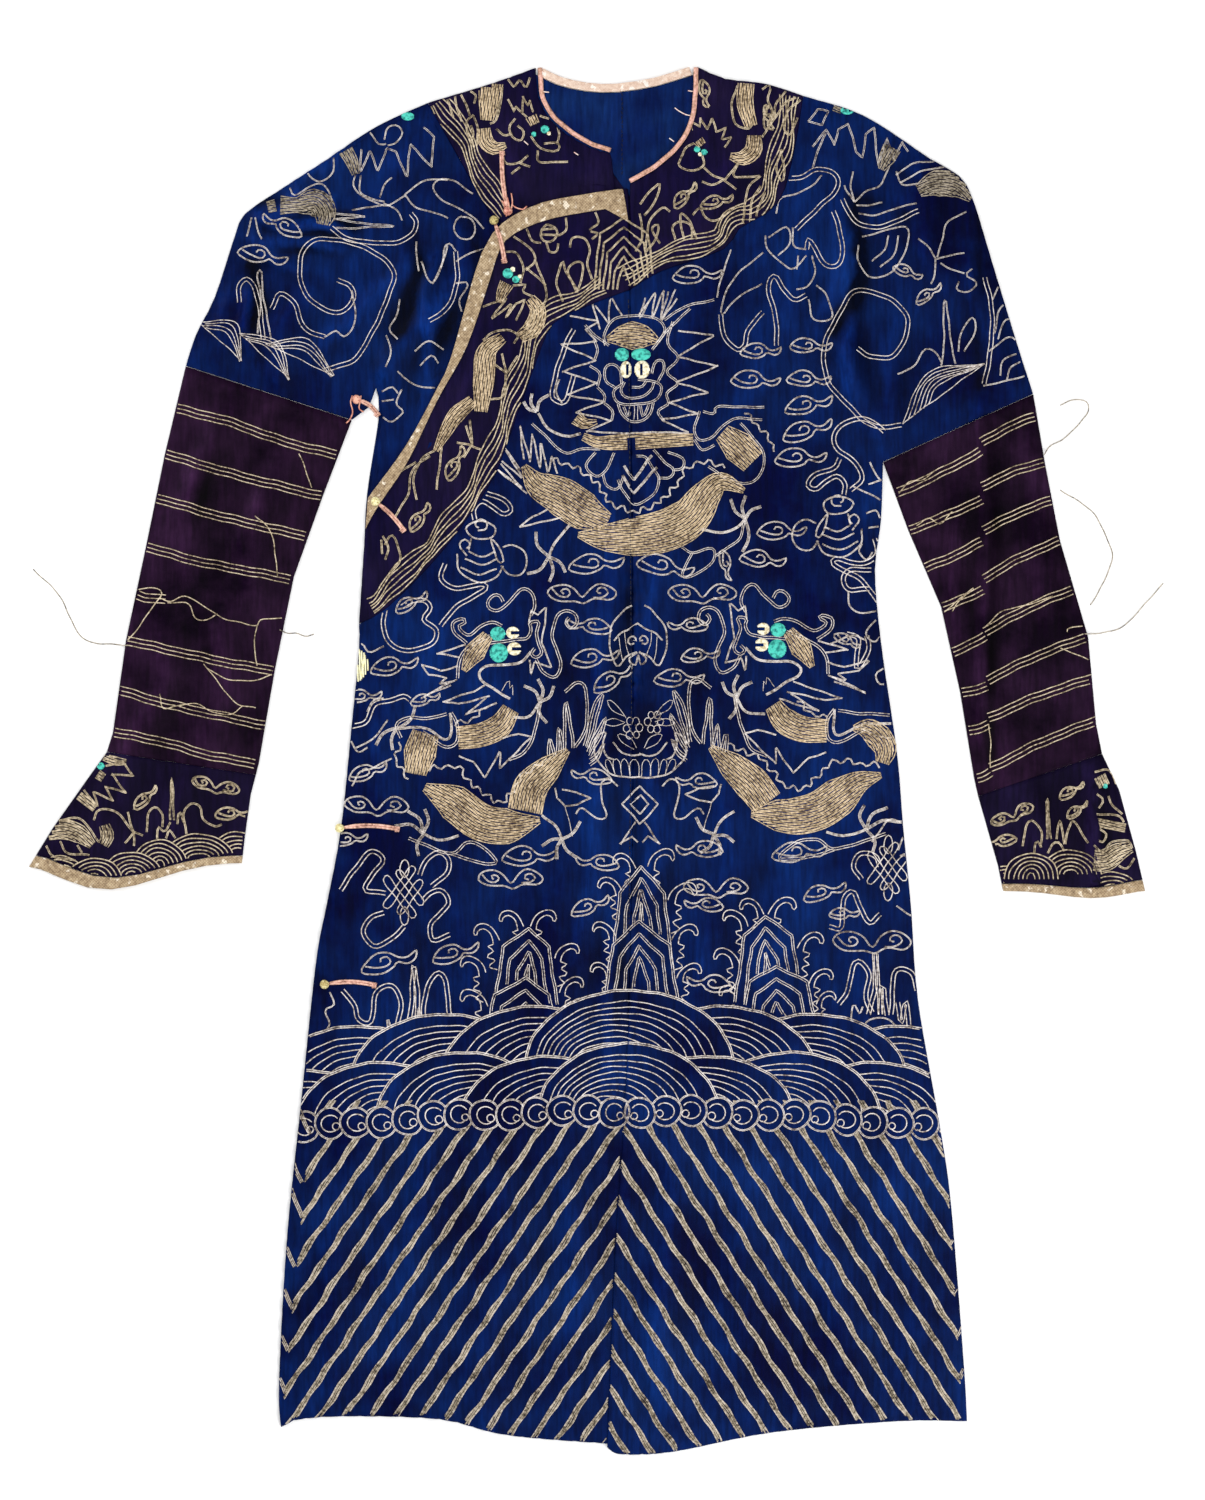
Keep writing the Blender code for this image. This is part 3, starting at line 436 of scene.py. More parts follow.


# Painted fold shading: how far round a corner to look, how much a hollow is darkened, and how much a side facing the
# top-left lights is lightened.
FOLD_REACH, HOLLOW_SHADE_GAIN, LIT_SIDE_GAIN = 8.0, 0.13, 0.9
WIDE_REACH = 2.4 * FOLD_REACH
FOLD_SHADOWS = [  # painted shadows along the deep folds: from across, down, to across, down, half width, darkness
    (248, 197, 323, 213, 6, 0.4), (323, 213, 356, 228, 6, 0.34), (252, 266, 264, 308, 7, 0.5),
    (412, 230, 420, 268, 8, 0.32), (420, 268, 402, 330, 11, 0.5), (402, 330, 380, 364, 9, 0.45),
    (850, 196, 905, 214, 6, 0.34), (880, 160, 925, 190, 6, 0.3), (853, 208, 857, 251, 8, 0.5),
    (857, 251, 852, 301, 10, 0.5), (852, 301, 829, 334, 8, 0.45), (976, 215, 978, 385, 6, 0.36),
    (632, 590, 631, 1000, 6, 0.3), (984, 420, 992, 760, 6, 0.34), (224, 424, 196, 520, 7, 0.25),
    (470, 222, 478, 262, 7, 0.26), (560, 640, 556, 800, 8, 0.2), (700, 620, 706, 800, 9, 0.2),
]


def paint_fold_shade(thing):
    """Paints fold shading into each corner of a piece: 0 is painted shade in a hollow, 1 painted light on a ridge;
    sides facing the top-left lights are painted lighter, and the listed fold shadows darker.
    """
    u, v = places_of(thing.data.vertices)
    ring, wide = (
        [lift(u + reach * cos(turn),
              v + reach * sin(turn)) for turn in np.arange(count) * 2 * pi / count]
        for reach, count in ((FOLD_REACH, 8), (WIDE_REACH, 6)))
    hollow = lift(u, v) - 0.5 * (sum(ring) / 8 + sum(wide) / 6)
    # Painted light: a side rising towards the lower right faces the top-left lights and is lightened; the opposite
    # side is darkened.
    slope = (ring[1] - ring[5]) / (2 * FOLD_REACH)
    shade = np.clip(0.5 + HOLLOW_SHADE_GAIN * hollow + LIT_SIDE_GAIN * slope, 0, 1)
    # Painted shadows along the deepest folds.
    for u0, v0, u1, v1, half, darkness in FOLD_SHADOWS:
        away = np.hypot(*off_line(u, v, u0, v0, u1, v1)[1:]) / half
        shade = np.clip(shade - darkness * np.exp(-away ** 2), 0, 1)
    painted_fold_shade = thing.data.attributes.new("painted_fold_shade", "FLOAT", "POINT")
    painted_fold_shade.data.foreach_set("value", shade.astype(np.float32))


def node_tree_of(names):
    """One tree to drop a plumb line on, from the meshes of some nodes."""
    joined = bmesh.new()
    for name in names:
        joined.from_mesh(frame["nodes"][name].data)
    tree = BVHTree.FromBMesh(joined)
    joined.free()
    return tree


SOFT_NODES = ["front_left", "front_left_yoke", "overlap_front", "overlap_yoke", "front_right",
              "front_right_yoke", "sleeve_right", "sleeve_left", "cuff_right", "cuff_left",
              "cuff_braid_right", "cuff_braid_left"]
DOWNWARDS = Vector((0, 0, -1))
PLUMB_RING = 2.2 * MM      # a corner is on the outline if cloth is missing this far from it
all_cloth = node_tree_of(SOFT_NODES)
outline_points = []
for node_name in SOFT_NODES:
    for corner in frame["nodes"][node_name].data.vertices:
        spot = corner.co
        around = [Vector((spot.x + PLUMB_RING * cos(k * pi / 4),
                          spot.y + PLUMB_RING * sin(k * pi / 4), 1))
                  for k in range(8)]
        if any(all_cloth.ray_cast(place, DOWNWARDS)[0] is None for place in around):
            outline_points.append((spot.x, spot.y, 0.0))
outlines = KDTree(len(outline_points))
for number, spot in enumerate(outline_points):
    outlines.insert(spot, number)
outlines.balance()

# Cloth panels
# Each panel is cut in lined silk, its edge turned in and sewn to its neighbour, so the cloth is
# held down and slightly rounded at every outline and stands off in creases between them.
CLOTH_THICKNESS = 0.85 * MM
TURNED_EDGE = 5.0 * MM     # the turned edge rounds over within this
EDGE_HEIGHT = 2.1 * MM     # top of the cloth where two layers are sewn together
SEAM_DIP = 0.35 * MM
NARROWEST_STRIP = 11.0 * MM
WELD = 0.01 * MM
LEAST_AREA_SHARE = 0.31    # of the box of a cut piece


def new_object(build, name, *materials):
    """A finished mesh at the origin, smooth, with its materials and its body."""
    mesh = bpy.data.meshes.new(name)
    build.to_mesh(mesh)
    build.free()
    for item in materials:
        mesh.materials.append(item)
    mesh.shade_smooth()
    thing = bpy.data.objects.new(name, mesh)
    bpy.context.collection.objects.link(thing)
    # Silk pieces get painted fold shade and light, carried into their colour.
    if materials[0] in SILKS:
        paint_fold_shade(thing)
    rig.ride(thing, "root")
    return thing


def welded(node_name):
    """A copy of a solid's mesh with its loose triangles joined."""
    build = bmesh.new()
    build.from_mesh(frame["nodes"][node_name].data)
    bmesh.ops.remove_doubles(build, verts=build.verts[:], dist=WELD)
    return build


def edge_distance(corner):
    """How far a corner is from the nearest sewn outline."""
    return outlines.find((corner.co.x, corner.co.y, 0.0))[2]


def raise_creases(corners):
    """Lifts corners by the creases, less and less towards the outlines."""
    for corner, rise in zip(corners, lift(*places_of(corners))):
        share = min(edge_distance(corner) / (QUIET_EDGE * MM), 1.0)
        corner.co.z += rise * MM * share * share * (3 - 2 * share)


def round_edges(corners):
    """Rounds cloth down where its turned edge is sewn."""
    for corner in corners:
        inward = max(1 - edge_distance(corner) / TURNED_EDGE, 0)
        corner.co.z = EDGE_HEIGHT + (corner.co.z - EDGE_HEIGHT) * (1 - inward * inward) ** 0.5


def put_in_place(build, node_name, name, material, slot_name):
    """A finished piece of cloth in the place of its solid, and the solid's size each way."""
    piece = new_object(build, name, material)
    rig.replaces(piece, node_name)
    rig.slot(piece, slot_name)
    low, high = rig.box(node_name)
    return piece, (high[0] - low[0], high[1] - low[1])


def upper_side(node_name, inset_width):
    """The upper faces of a solid, welded, with a narrow row of faces along their rim."""
    build = welded(node_name)
    build.normal_update()
    lower = [face for face in build.faces if face.normal.z < 0.3]
    bmesh.ops.delete(build, geom=lower, context="FACES")
    bmesh.ops.inset_region(build, faces=build.faces[:], thickness=inset_width, use_even_offset=True,
                           use_boundary=True)
    return build


def sew_panel(node_name, name, silk, slot_name, cuts=3, thickness=CLOTH_THICKNESS,
              hem_width=4.0 * MM, raised=0.0, length=None):
    """A panel in the place of its solid: refined, laid in creases, and given its thickness."""
    build = upper_side(node_name, hem_width)
    bmesh.ops.subdivide_edges(build, edges=build.edges[:], cuts=cuts, use_grid_fill=True)
    bmesh.ops.triangulate(build, faces=[f for f in build.faces if len(f.verts) > 4])
    rim = {v for v in build.verts if v.is_boundary}
    for _ in range(4):
        bmesh.ops.smooth_vert(build, verts=[v for v in build.verts if v not in rim], factor=0.5,
                              use_axis_z=True)
    raise_creases(build.verts)
    round_edges(build.verts)
    for corner in rim:
        if edge_distance(corner) > TURNED_EDGE:
            corner.co.z -= SEAM_DIP
    bmesh.ops.translate(build, verts=build.verts[:], vec=(0, 0, raised))
    flat_area = sum(face.calc_area() for face in build.faces)
    grown = bmesh.ops.extrude_face_region(build, geom=build.faces[:], use_keep_orig=True)
    under = [part for part in grown["geom"] if isinstance(part, bmesh.types.BMVert)]
    bmesh.ops.translate(build, verts=under, vec=(0, 0, -thickness))
    bmesh.ops.recalc_face_normals(build, faces=build.faces[:])
    if build.calc_volume(signed=True) < 0:
        bmesh.ops.reverse_faces(build, faces=build.faces[:])
    panel, size = put_in_place(build, node_name, name, silk, slot_name)
    if length:
        size, cut = (length, max(flat_area / length, NARROWEST_STRIP)), flat_area
    else:
        box = size[0] * size[1]
        cut = min(max(flat_area, LEAST_AREA_SHARE * box), box)
    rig.sheet(panel, flat=size, held="laid", rests_on=["back_right", "back_left"], area=cut)


# The blue panels: inner right front with its upper sleeve, outer right front, and left front.
sew_panel("front_right", "inner_right_front", blue_silk, "blue_silk", cuts=5)
sew_panel("overlap_front", "outer_right_front", blue_silk, "blue_silk")
sew_panel("front_left", "left_front_panel", blue_silk, "blue_silk")

# The yoke is cut in purple silk, in three pieces round the front of the neck.
sew_panel("front_right_yoke", "inner_right_yoke", yoke_silk, "purple_silk")
sew_panel("overlap_yoke", "outer_right_yoke", yoke_silk, "purple_silk")
sew_panel("front_left_yoke", "left_front_yoke_panel", yoke_silk, "purple_silk")

# The back is cut in two blue halves and a purple yoke. It lies flat, with shallow hollows below
# where it doesn't quite touch.
HOLLOW_SHARE = 0.16        # of the creases in front, seen again in the back
DEEPEST_HOLLOW = 0.7
RESTING_LIFT = 1.2         # creases lower than this leave no hollow, in millimetres


def sew_back(node_name, name, silk, slot_name):
    """A back panel in the place of its solid, hollowed below along the creases."""
    build = welded(node_name)
    flat_area = sum(face.calc_area() for face in build.faces if face.normal.z > 0.5)
    bmesh.ops.subdivide_edges(build, edges=build.edges[:], cuts=1, use_grid_fill=True)
    below = [v for v in build.verts if v.co.z < 0.2 * MM]
    for corner, rise in zip(below, lift(*places_of(below)) - RESTING_LIFT):
        share = min(edge_distance(corner) / (QUIET_EDGE * MM), 1.0)
        corner.co.z = min(max(rise * HOLLOW_SHARE * share, 0), DEEPEST_HOLLOW) * MM
    bmesh.ops.recalc_face_normals(build, faces=build.faces[:])
    panel, size = put_in_place(build, node_name, name, silk, slot_name)
    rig.sheet(panel, flat=size, held="laid", area=max(flat_area,
                                                     LEAST_AREA_SHARE * size[0] * size[1]))


sew_back("back_right", "back_right_panel", blue_silk, "blue_silk")
sew_back("back_left", "back_left_panel", blue_silk, "blue_silk")
sew_back("back_yoke", "back_yoke_panel", yoke_silk, "purple_silk")

# Lining at the neck
# Plain blue silk shows inside the back neck, brighter than the outside because it is unworn,
# with its centre seam pressed flat.
sew_panel("back_lining", "back_neck_lining", lining_silk, "lining_silk", raised=-0.8 * MM,
          thickness=0.4 * MM, hem_width=2.0 * MM)

# Sleeves, cuffs and their braid
# The lower sleeves are straight tubes of purple silk, and the horse-hoof cuffs flare over the
# back of the hand. Each is one piece folded flat, edged with a woven gold braid.
TOP_LAYER = 1.42 * MM      # what lies above this in a flattened tube is its upper layer


def sew_tube(node_name, name, material, slot_name, width, length):
    """A flattened tube in the place of its solid, its upper layer lifted in creases."""
    build = welded(node_name)
    bmesh.ops.subdivide_edges(build, edges=build.edges[:], cuts=3, use_grid_fill=True)
    raise_creases([v for v in build.verts if v.co.z > TOP_LAYER])
    bmesh.ops.recalc_face_normals(build, faces=build.faces[:])
    tube, _ = put_in_place(build, node_name, name, material, slot_name)
    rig.sheet(tube, flat=(width, length), held="folded", rests_on=["back_right", "back_left"])


sew_tube("sleeve_right", "lower_sleeve_right", purple_silk, "purple_silk", 0.32, 0.39)
sew_tube("sleeve_left", "lower_sleeve_left", purple_silk, "purple_silk", 0.29, 0.35)
sew_tube("cuff_right", "hoof_cuff_right", cuff_silk, "cuff_silk", 0.38, 0.10)
sew_tube("cuff_left", "hoof_cuff_left", cuff_silk, "cuff_silk", 0.29, 0.11)


def three_colours(tree, share, low, middle, high):
    """Three colours that run into each other, each with the share at which it is full."""
    ramp = add_node(tree, "ValToRGB", {"Fac": share})
    stops = ramp.color_ramp.elements
    stops[0].position, stops[0].color = low
    stops[1].position, stops[1].color = high
    stops.new(middle[0]).color = middle[1]
    return ramp.outputs["Color"]


def braid_material(name, dark, middle, bright, spot, rib=2.1 * MM):
    """Woven metal-thread braid: slanting ribs that cross, browned, with pale worn spots."""
    made, tree, shader = node_material(name, 0.55, 0.3, 0.12)
    place = own_place(tree)
    browned = three_colours(tree, mottle(tree, place, 230.0, 6.0, 0.7),
                            (0.3, dark), (0.5, middle), (0.7, bright))
    rubbed = stretched(tree, mottle(tree, place, 160.0, 2.0), 0.6, 0.68)
    ribs = []
    for turn in (pi / 4, -pi / 4):
        slant = add_node(tree, "Mapping", {"Vector": place, "Rotation": (0, 0, turn)})
        ribs.append(ribbed(tree, slant.outputs["Vector"], rib, "X", Distortion=1.0))
    crossed = crossing(tree, *ribs)
    woven = blended(tree, 0.45, blended(tree, rubbed, browned, spot), crossed, "MULTIPLY")
    feed(shader, {"Base Color": woven, "Normal": raised(tree, crossed, 0.8, 0.35 * MM)})
    return made


gold_braid = braid_material("gold_braid_weave", colour(112, 90, 66), colour(168, 144, 112),
                            colour(206, 184, 150), colour(236, 222, 200))
sew_tube("cuff_braid_right", "cuff_edge_braid_right", gold_braid, "gold_braid", 0.38, 0.013)
sew_tube("cuff_braid_left", "cuff_edge_braid_left", gold_braid, "gold_braid", 0.29, 0.013)

# Closure braid and back neck binding
# A wider braid of the same kind covers the front edge that laps over, and a folded strip of
# peach silk, shot with gold, binds the back of the neck.
sew_panel("closure_band", "closure_braid", gold_braid, "gold_braid", cuts=3, thickness=1.0 * MM,
          hem_width=1.0 * MM, raised=0.5 * MM, length=0.43)
peach_silk = braid_material("peach_binding_silk", colour(206, 168, 146), colour(234, 206, 186),
                            colour(250, 230, 212), colour(255, 246, 236), 1.1 * MM)
sew_panel("neck_binding_back", "back_neck_binding", peach_silk, "peach_binding", cuts=2,
          thickness=1.4 * MM, hem_width=1.2 * MM, raised=0.9 * MM, length=0.165)

# Thread laid on the cloth
# All the figures are drawn in gold-wrapped thread couched on the surface: thin pairs for lines,
# and close rows for filled bodies. Each run is drawn through listed places, trembles a little,
# and drops onto the cloth below it. It ends where the piece of cloth it belongs to ends.
THREAD_RADIUS = 0.45 * MM
TWIST_PITCH = WAVES_PER_UNIT / 480.0
WIDE_GAP = 3.9             # between the two lines of a double outline, in millimetres
WIDE_THICK = 1.65          # how much thicker than other thread those lines are
PAIR_GAP = 0.9             # between the middles of two threads of a pair, in millimetres
STITCH_STEP = 4.0          # between the places of a thread
SLOW_SHAKE, QUICK_SHAKE = (0.4, 8.0), (0.25, 3.7)    # of a hand-laid line: how far, how fast
FRONT = {"inner_right_front", "outer_right_front", "left_front_panel"}
YOKE = {"inner_right_yoke", "outer_right_yoke", "left_front_yoke_panel"}
SLEEVES = {"lower_sleeve_right", "lower_sleeve_left"}
CUFFS = {"hoof_cuff_right", "hoof_cuff_left"}
NECK = {"back_neck_lining"}


def gold_material(name, bright, worn, brown):
    """Gold-wrapped thread: flat gold rubbed to bare silk and brown core in places."""
    made, tree, shader = node_material(name, 0.5, 0.4, 0.15)
    place = own_place(tree)
    rubbed, flecks = mottle(tree, place, 55.0, 4.0), mottle(tree, place, 360.0, 3.0)
    rubbed_share = blended(tree, 0.62, rubbed, flecks, data_type="FLOAT")
    wrapped = three_colours(tree, rubbed_share, (0.37, brown), (0.48, worn), (0.6, bright))
    twist = ribbed(tree, place, TWIST_PITCH, "DIAGONAL")
    feed(shader, {"Base Color": wrapped, "Normal": raised(tree, twist, 0.5, 0.15 * MM)})
    return made


line_gold = gold_material("couched_gold_line", colour(238, 231, 226), colour(202, 191, 182),
                          colour(114, 101, 92))
fill_gold = gold_material("couched_gold_fill", colour(228, 206, 172), colour(186, 164, 130),
                          colour(110, 90, 64))
dull_gold = gold_material("couched_gold_dull", colour(222, 206, 178), colour(176, 159, 130),
                          colour(94, 80, 60))
hem_gold = gold_material("couched_gold_hem", colour(186, 174, 156), colour(142, 130, 110),
                         colour(62, 52, 40))
pale_gold = gold_material("couched_gold_edge", colour(218, 207, 194), colour(177, 164, 148),
                          colour(90, 77, 62))



def upper_faces(names):
    """The upper faces of some finished pieces, and which piece each face is part of."""
    points, faces, owners = [], [], []
    for thing in [piece for piece in bpy.data.objects if piece.name in names]:
        first = len(points)
        points.extend(corner.co.copy() for corner in thing.data.vertices)
        for face in thing.data.polygons:
            if face.normal.z > 0:
                faces.append([first + index for index in face.vertices])
                owners.append(thing.name)
    return BVHTree.FromPolygons(points, faces), owners


surface, cloth_owner = upper_faces(FRONT | YOKE | SLEEVES | CUFFS | NECK)


def drawn(points, sharp=False, step=STITCH_STEP, tremble=1.0):
    """An evenly sampled line through some places, round or sharp, with a slight tremble."""
    places = np.array(points, dtype=float)
    if sharp or len(places) < 3:
        path = places
    else:
        closed = np.allclose(places[0], places[-1])
        before = places[-2] if closed else 2 * places[0] - places[1]
        after = places[1] if closed else 2 * places[-1] - places[-2]
        ends = np.vstack([before, places, after])
        t = np.linspace(0, 1, 8, endpoint=False)[:, None]
        bends = [0.5 * (2 * b + (c - a) * t + (2 * a - 5 * b + 4 * c - d) * t ** 2
                        + (3 * b - a - 3 * c + d) * t ** 3)
                 for a, b, c, d in zip(ends, ends[1:], ends[2:], ends[3:])]
        path = np.vstack(bends + [places[-1:]])
    run = np.r_[0, np.cumsum(np.hypot(*np.diff(path, axis=0).T))]
    stops = np.linspace(0, run[-1], max(int(run[-1] / step), 2) + 1)
    if sharp:
        stops = np.unique(np.round(np.union1d(stops, run), 2))
    line = np.column_stack([np.interp(stops, run, path[:, k]) for k in (0, 1)])
    phase = places[0, 0] * 0.37 + places[0, 1] * 0.61
    shake = (SLOW_SHAKE[0] * np.sin(stops / SLOW_SHAKE[1] + phase)
             + QUICK_SHAKE[0] * np.sin(stops / QUICK_SHAKE[1] + 2 * phase))
    return beside(line, tremble * shake[:, None])


def beside(line, offset):
    """The line that runs alongside another at an offset, in millimetres."""
    along = np.gradient(line, axis=0)
    along /= np.maximum(np.hypot(along[:, 0], along[:, 1]), 1e-6)[:, None]
    return line + offset * np.column_stack([-along[:, 1], along[:, 0]])


def couch(work, points, threads=2, gap=PAIR_GAP, sharp=False, thick=1.0, hidden_by=(),
          step=STITCH_STEP):
    """Adds a run of side-by-side threads to a piece of work, less what other shapes hide."""
    fine = 4 if hidden_by and not sharp else 1
    line = drawn(points, sharp, step / fine)
    for number in range(threads):
        thread = beside(line, (number - (threads - 1) / 2) * gap)
        for stretch in in_sight(thread, hidden_by):
            kept = np.unique(np.r_[0:len(stretch):fine, len(stretch) - 1])
            work.append((stretch[kept], thick))


def in_sight(line, hidden_by):
    """The stretches of a line that no nearer shape covers."""
    if not hidden_by:
        return [line]
    shown = np.ones(len(line), dtype=bool)
    for covers in hidden_by:
        shown &= ~covers(line[:, 0], line[:, 1])
    return [line[start:end] for start, end in stretches(shown)]


def stretches(kept):
    """Where each run of two or more kept places starts and ends."""
    breaks = np.flatnonzero(np.diff(np.r_[False, kept, False].astype(int)))
    return [(start, end) for start, end in zip(breaks[::2], breaks[1::2]) if end - start > 1]


def couch_by_length(work, line, long_run, apart=0.0, hidden_by=()):
    """A pair of threads, or a thick double outline where the line is long and open."""
    run = sum(hypot(b[0] - a[0], b[1] - a[1]) for a, b in zip(line, line[1:]))
    ends = hypot(line[0][0] - line[-1][0], line[0][1] - line[-1][1])
    gap, thick = (WIDE_GAP, WIDE_THICK) if run > long_run and ends >= apart else (PAIR_GAP, 1.0)
    couch(work, line, 2, gap, thick=thick, hidden_by=hidden_by, step=3.4)


def stitch(name, work, ground, gold=line_gold, slot_name="gold_thread", proud=0.35, weight=1.0):
    """Drops a piece of work onto its ground and turns every run into thread."""
    runs = []
    for line, thick in work:
        run = []
        thick *= weight
        for u, v in line:
            spot, _, face, _ = surface.ray_cast(Vector((across(u), down(v), 1)), DOWNWARDS)
            if spot is not None and cloth_owner[face] in ground:
                run.append((spot.x, spot.y, spot.z + proud * MM))
            else:
                runs.append((run, thick))
                run = []
        runs.append((run, thick))
    return wind(name, runs, gold, slot_name)


def wind(name, runs, material, slot_name, radius=THREAD_RADIUS, roundness=0, heart=None):
    """Turns runs of places in space into round thread, joined in one piece."""
    curve = bpy.data.curves.new(name, "CURVE")
    curve.dimensions = "3D"
    curve.bevel_depth = radius
    curve.bevel_resolution = roundness
    curve.use_fill_caps = True
    for run, thick in runs:
        if len(run) < 2:
            continue
        spline = curve.splines.new("POLY")
        spline.points.add(len(run) - 1)
        spline.points.foreach_set("co", [value for spot in run for value in (*spot, 1.0)])
        spline.points.foreach_set("radius", [thick] * len(run))
    holder = bpy.data.objects.new(name, curve)
    bpy.context.collection.objects.link(holder)
    shaped = holder.evaluated_get(bpy.context.evaluated_depsgraph_get())
    mesh = bpy.data.meshes.new_from_object(shaped)
    bpy.data.objects.remove(holder)
    build = bmesh.new()
    build.from_mesh(mesh)
    bmesh.ops.remove_doubles(build, verts=build.verts[:], dist=0.0005 * MM)
    if heart:
        middle, size = heart
        ball = bmesh.ops.create_icosphere(build, subdivisions=2, radius=size)
        bmesh.ops.translate(build, verts=ball["verts"], vec=middle)
    bmesh.ops.recalc_face_normals(build, faces=build.faces[:])
    piece = new_object(build, name, material)
    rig.slot(piece, slot_name)
    return piece


# Row of scrolls and the waves
# A border of round scrolls runs across, and above it two rows of rolling wave hills, each of a
# heavy rim, a bare band and finer rows inside. Nearer hills hide those behind them.
SEAM = [(628, 190), (630, 300), (632, 560), (633, 700), (630, 960), (627, 1100), (622, 1130),
        (615, 1250), (607, 1442)]
SCROLL_PITCH, SCROLL_SIZE = 25.8, 15.2
SCROLLS_FROM, SCROLLS_EACH_WAY = 627, 13


def seam_at(v):
    """Where the centre seam runs at a place down the cloth."""
    places = np.array(SEAM, dtype=float)
    return np.interp(v, places[:, 1], places[:, 0])


def scroll_line(u):
    """How far down the row of scrolls runs, dipping towards the sides."""
    return 1111.0 + 14.0 * ((u - 625) / 300) ** 2 + 1.6 * np.sin(u / 19.0)


def scroll_middle(side, number):
    """The middle of a scroll, counted from the centre out."""
    u = SCROLLS_FROM + side * (number + 0.5) * SCROLL_PITCH
    return u, scroll_line(u)


def rounded(u, v, wide, tall, count, first=0.0, last=2 * pi):
    """Places round an oval, or part of one."""
    return [(u + wide * cos(a), v + tall * sin(a)) for a in np.linspace(first, last, count)]


def disc(centre, size):
    """A test of which places a round shape covers."""
    def covers(u, v):
        return np.hypot(u - centre[0], v - centre[1]) < size
    return covers


waves, scrolls = [], []
for side in (-1, 1):
    for number in range(SCROLLS_EACH_WAY):
        u, v = scroll_middle(side, number)
        nearer = scrolls[-1:] if number else []
        rim = rounded(u, v, SCROLL_SIZE, SCROLL_SIZE, 18)
        couch(waves, rim, 2, 1.1, thick=0.95, hidden_by=nearer, step=3.0)
        curl = rounded(u - side * 0.5, v, -side * 9.0, 8.6, 12, 0.24 * pi, 1.8 * pi)
        couch(waves, curl, 1, thick=1.55, hidden_by=nearer, step=3.0)
        eye = rounded(u - side * 6.0, v + 3.0, -side * 3.6, 3.6, 9, 0, 6.3)
        couch(waves, eye, 1, thick=1.5, step=2.0)
        scrolls.append(disc((u, v), SCROLL_SIZE - 0.5))

HILL_SPACING = 5.9         # between the fine rows inside a hill
HILL_BAND = 11.0           # the bare band under its rim
HILLS = [  # across from the seam, down to the crest, half width, rise; nearest first
    (0, 1043, 90, 70), (80, 1056, 86, 60), (164, 1052, 88, 66), (246, 1062, 86, 62),
    (322, 1070, 82, 60), (0, 990, 104, 76), (92, 1006, 94, 66), (184, 1014, 94, 66),
    (270, 1026, 92, 64), (344, 1040, 86, 62),
]


def hill_cover(centre, crest, half, rise):
    """A test of which places a hill, and what lies below it, covers."""
    def covers(u, v):
        rim = ((u - centre) / half) ** 2 + ((v - crest - rise) / rise) ** 2 < 1
        return rim | ((np.abs(u - centre) < half) & (v > crest + rise))
    return covers


hill_covers = scrolls + [lambda u, v: v > scroll_line(u)]
for offset, crest, half, rise in HILLS:
    for side in ((1,) if offset == 0 else (-1, 1)):
        centre = seam_at(crest) + side * offset
        for row, inset in enumerate((0.0, *np.arange(HILL_BAND, rise - 8, HILL_SPACING))):
            wide, tall = half - inset * 1.25, rise - inset
            if wide < 6:
                continue
            arch = rounded(centre - side * inset * 0.35, crest + rise, -wide, -tall, 20,
                           -0.12 * pi, 1.12 * pi)
            couch(waves, arch, 1 + (row == 0), 1.7, thick=1.35, hidden_by=hill_covers, step=4.5)
        hill_covers.append(hill_cover(centre, crest, half, rise))
stitch("wave_border", waves, FRONT, weight=0.92)

# Striped hem
# Below the scrolls the hem is covered with slanting stripes, brown rows of thread between two
# paler ones. They meet in points at the centre seam and turn back in points at the side seams.
STRIPE_PITCH, STRIPE_LEAN, STRIPE_HALF = 38.6, 0.655, 2.3
STRIPE_TOP, STRIPE_FOOT = 1118.0, 1456.0
STRIPE_SLANT = 0.836       # a stripe's width square to it, over its width across the cloth
ROW_GAP = 1.55             # between its brown rows
SIDE_EDGES = ((-1, 303, 272), (1, 952, 972))    # side, across at the scrolls and at the foot
hem_rows, hem_edges = [], []
for side, edge_top, edge_foot in SIDE_EDGES:
    def other_half(u, v, side=side):
        """Whether a place is past the centre seam."""
        return side * (u - seam_at(v)) < 0.6

    def turned_back(u, v, side=side, top=edge_top, foot=edge_foot):
        """Whether a place is past the line where stripes turn back at the side."""
        return side * (u - (top + (foot - top) * (v - 1120) / 320) + side * 8) > 0

    hiding = scrolls + [other_half, turned_back]
    for number in range(-15, 9):
        start = STRIPE_TOP + number * STRIPE_PITCH + (8 if side > 0 else 0)
        rows = np.arange(max(start - 14, 1100.0), STRIPE_FOOT, 7.0)
        jitter = 0.7 * np.sin(rows / 5.3 + number * 2.1) + 0.5 * np.sin(rows / 9.1 + number)
        middles = (seam_at(STRIPE_TOP) + seam_at(rows)) / 2
        places = [(middle + side * (STRIPE_LEAN * (v - start) + shake), v)
                  for middle, v, shake in zip(middles, rows, jitter)]
        for offset in (-1, 0, 1):
            moved = [(u + offset * ROW_GAP / STRIPE_SLANT, v) for u, v in places]
            couch(hem_rows, moved, 1, thick=1.7, hidden_by=hiding, step=6.0)
        for offset in (-STRIPE_HALF, STRIPE_HALF):
            moved = [(u + offset / STRIPE_SLANT, v) for u, v in places]
            couch(hem_edges, moved, 1, thick=1.15, hidden_by=hiding, step=6.0)
        for u, v in places:
            if v > 1134 and turned_back(u, v):
                turn = [(u - side * 1.5, v - 2), (u + side * 4, v - 14), (u + side * 10, v - 31)]
                couch(hem_edges, turn, 3, 1.5, thick=1.15, step=5.0)
                break
stitch("hem_stripes", hem_rows, FRONT, hem_gold)
stitch("hem_stripe_edges", hem_edges, FRONT, pale_gold)

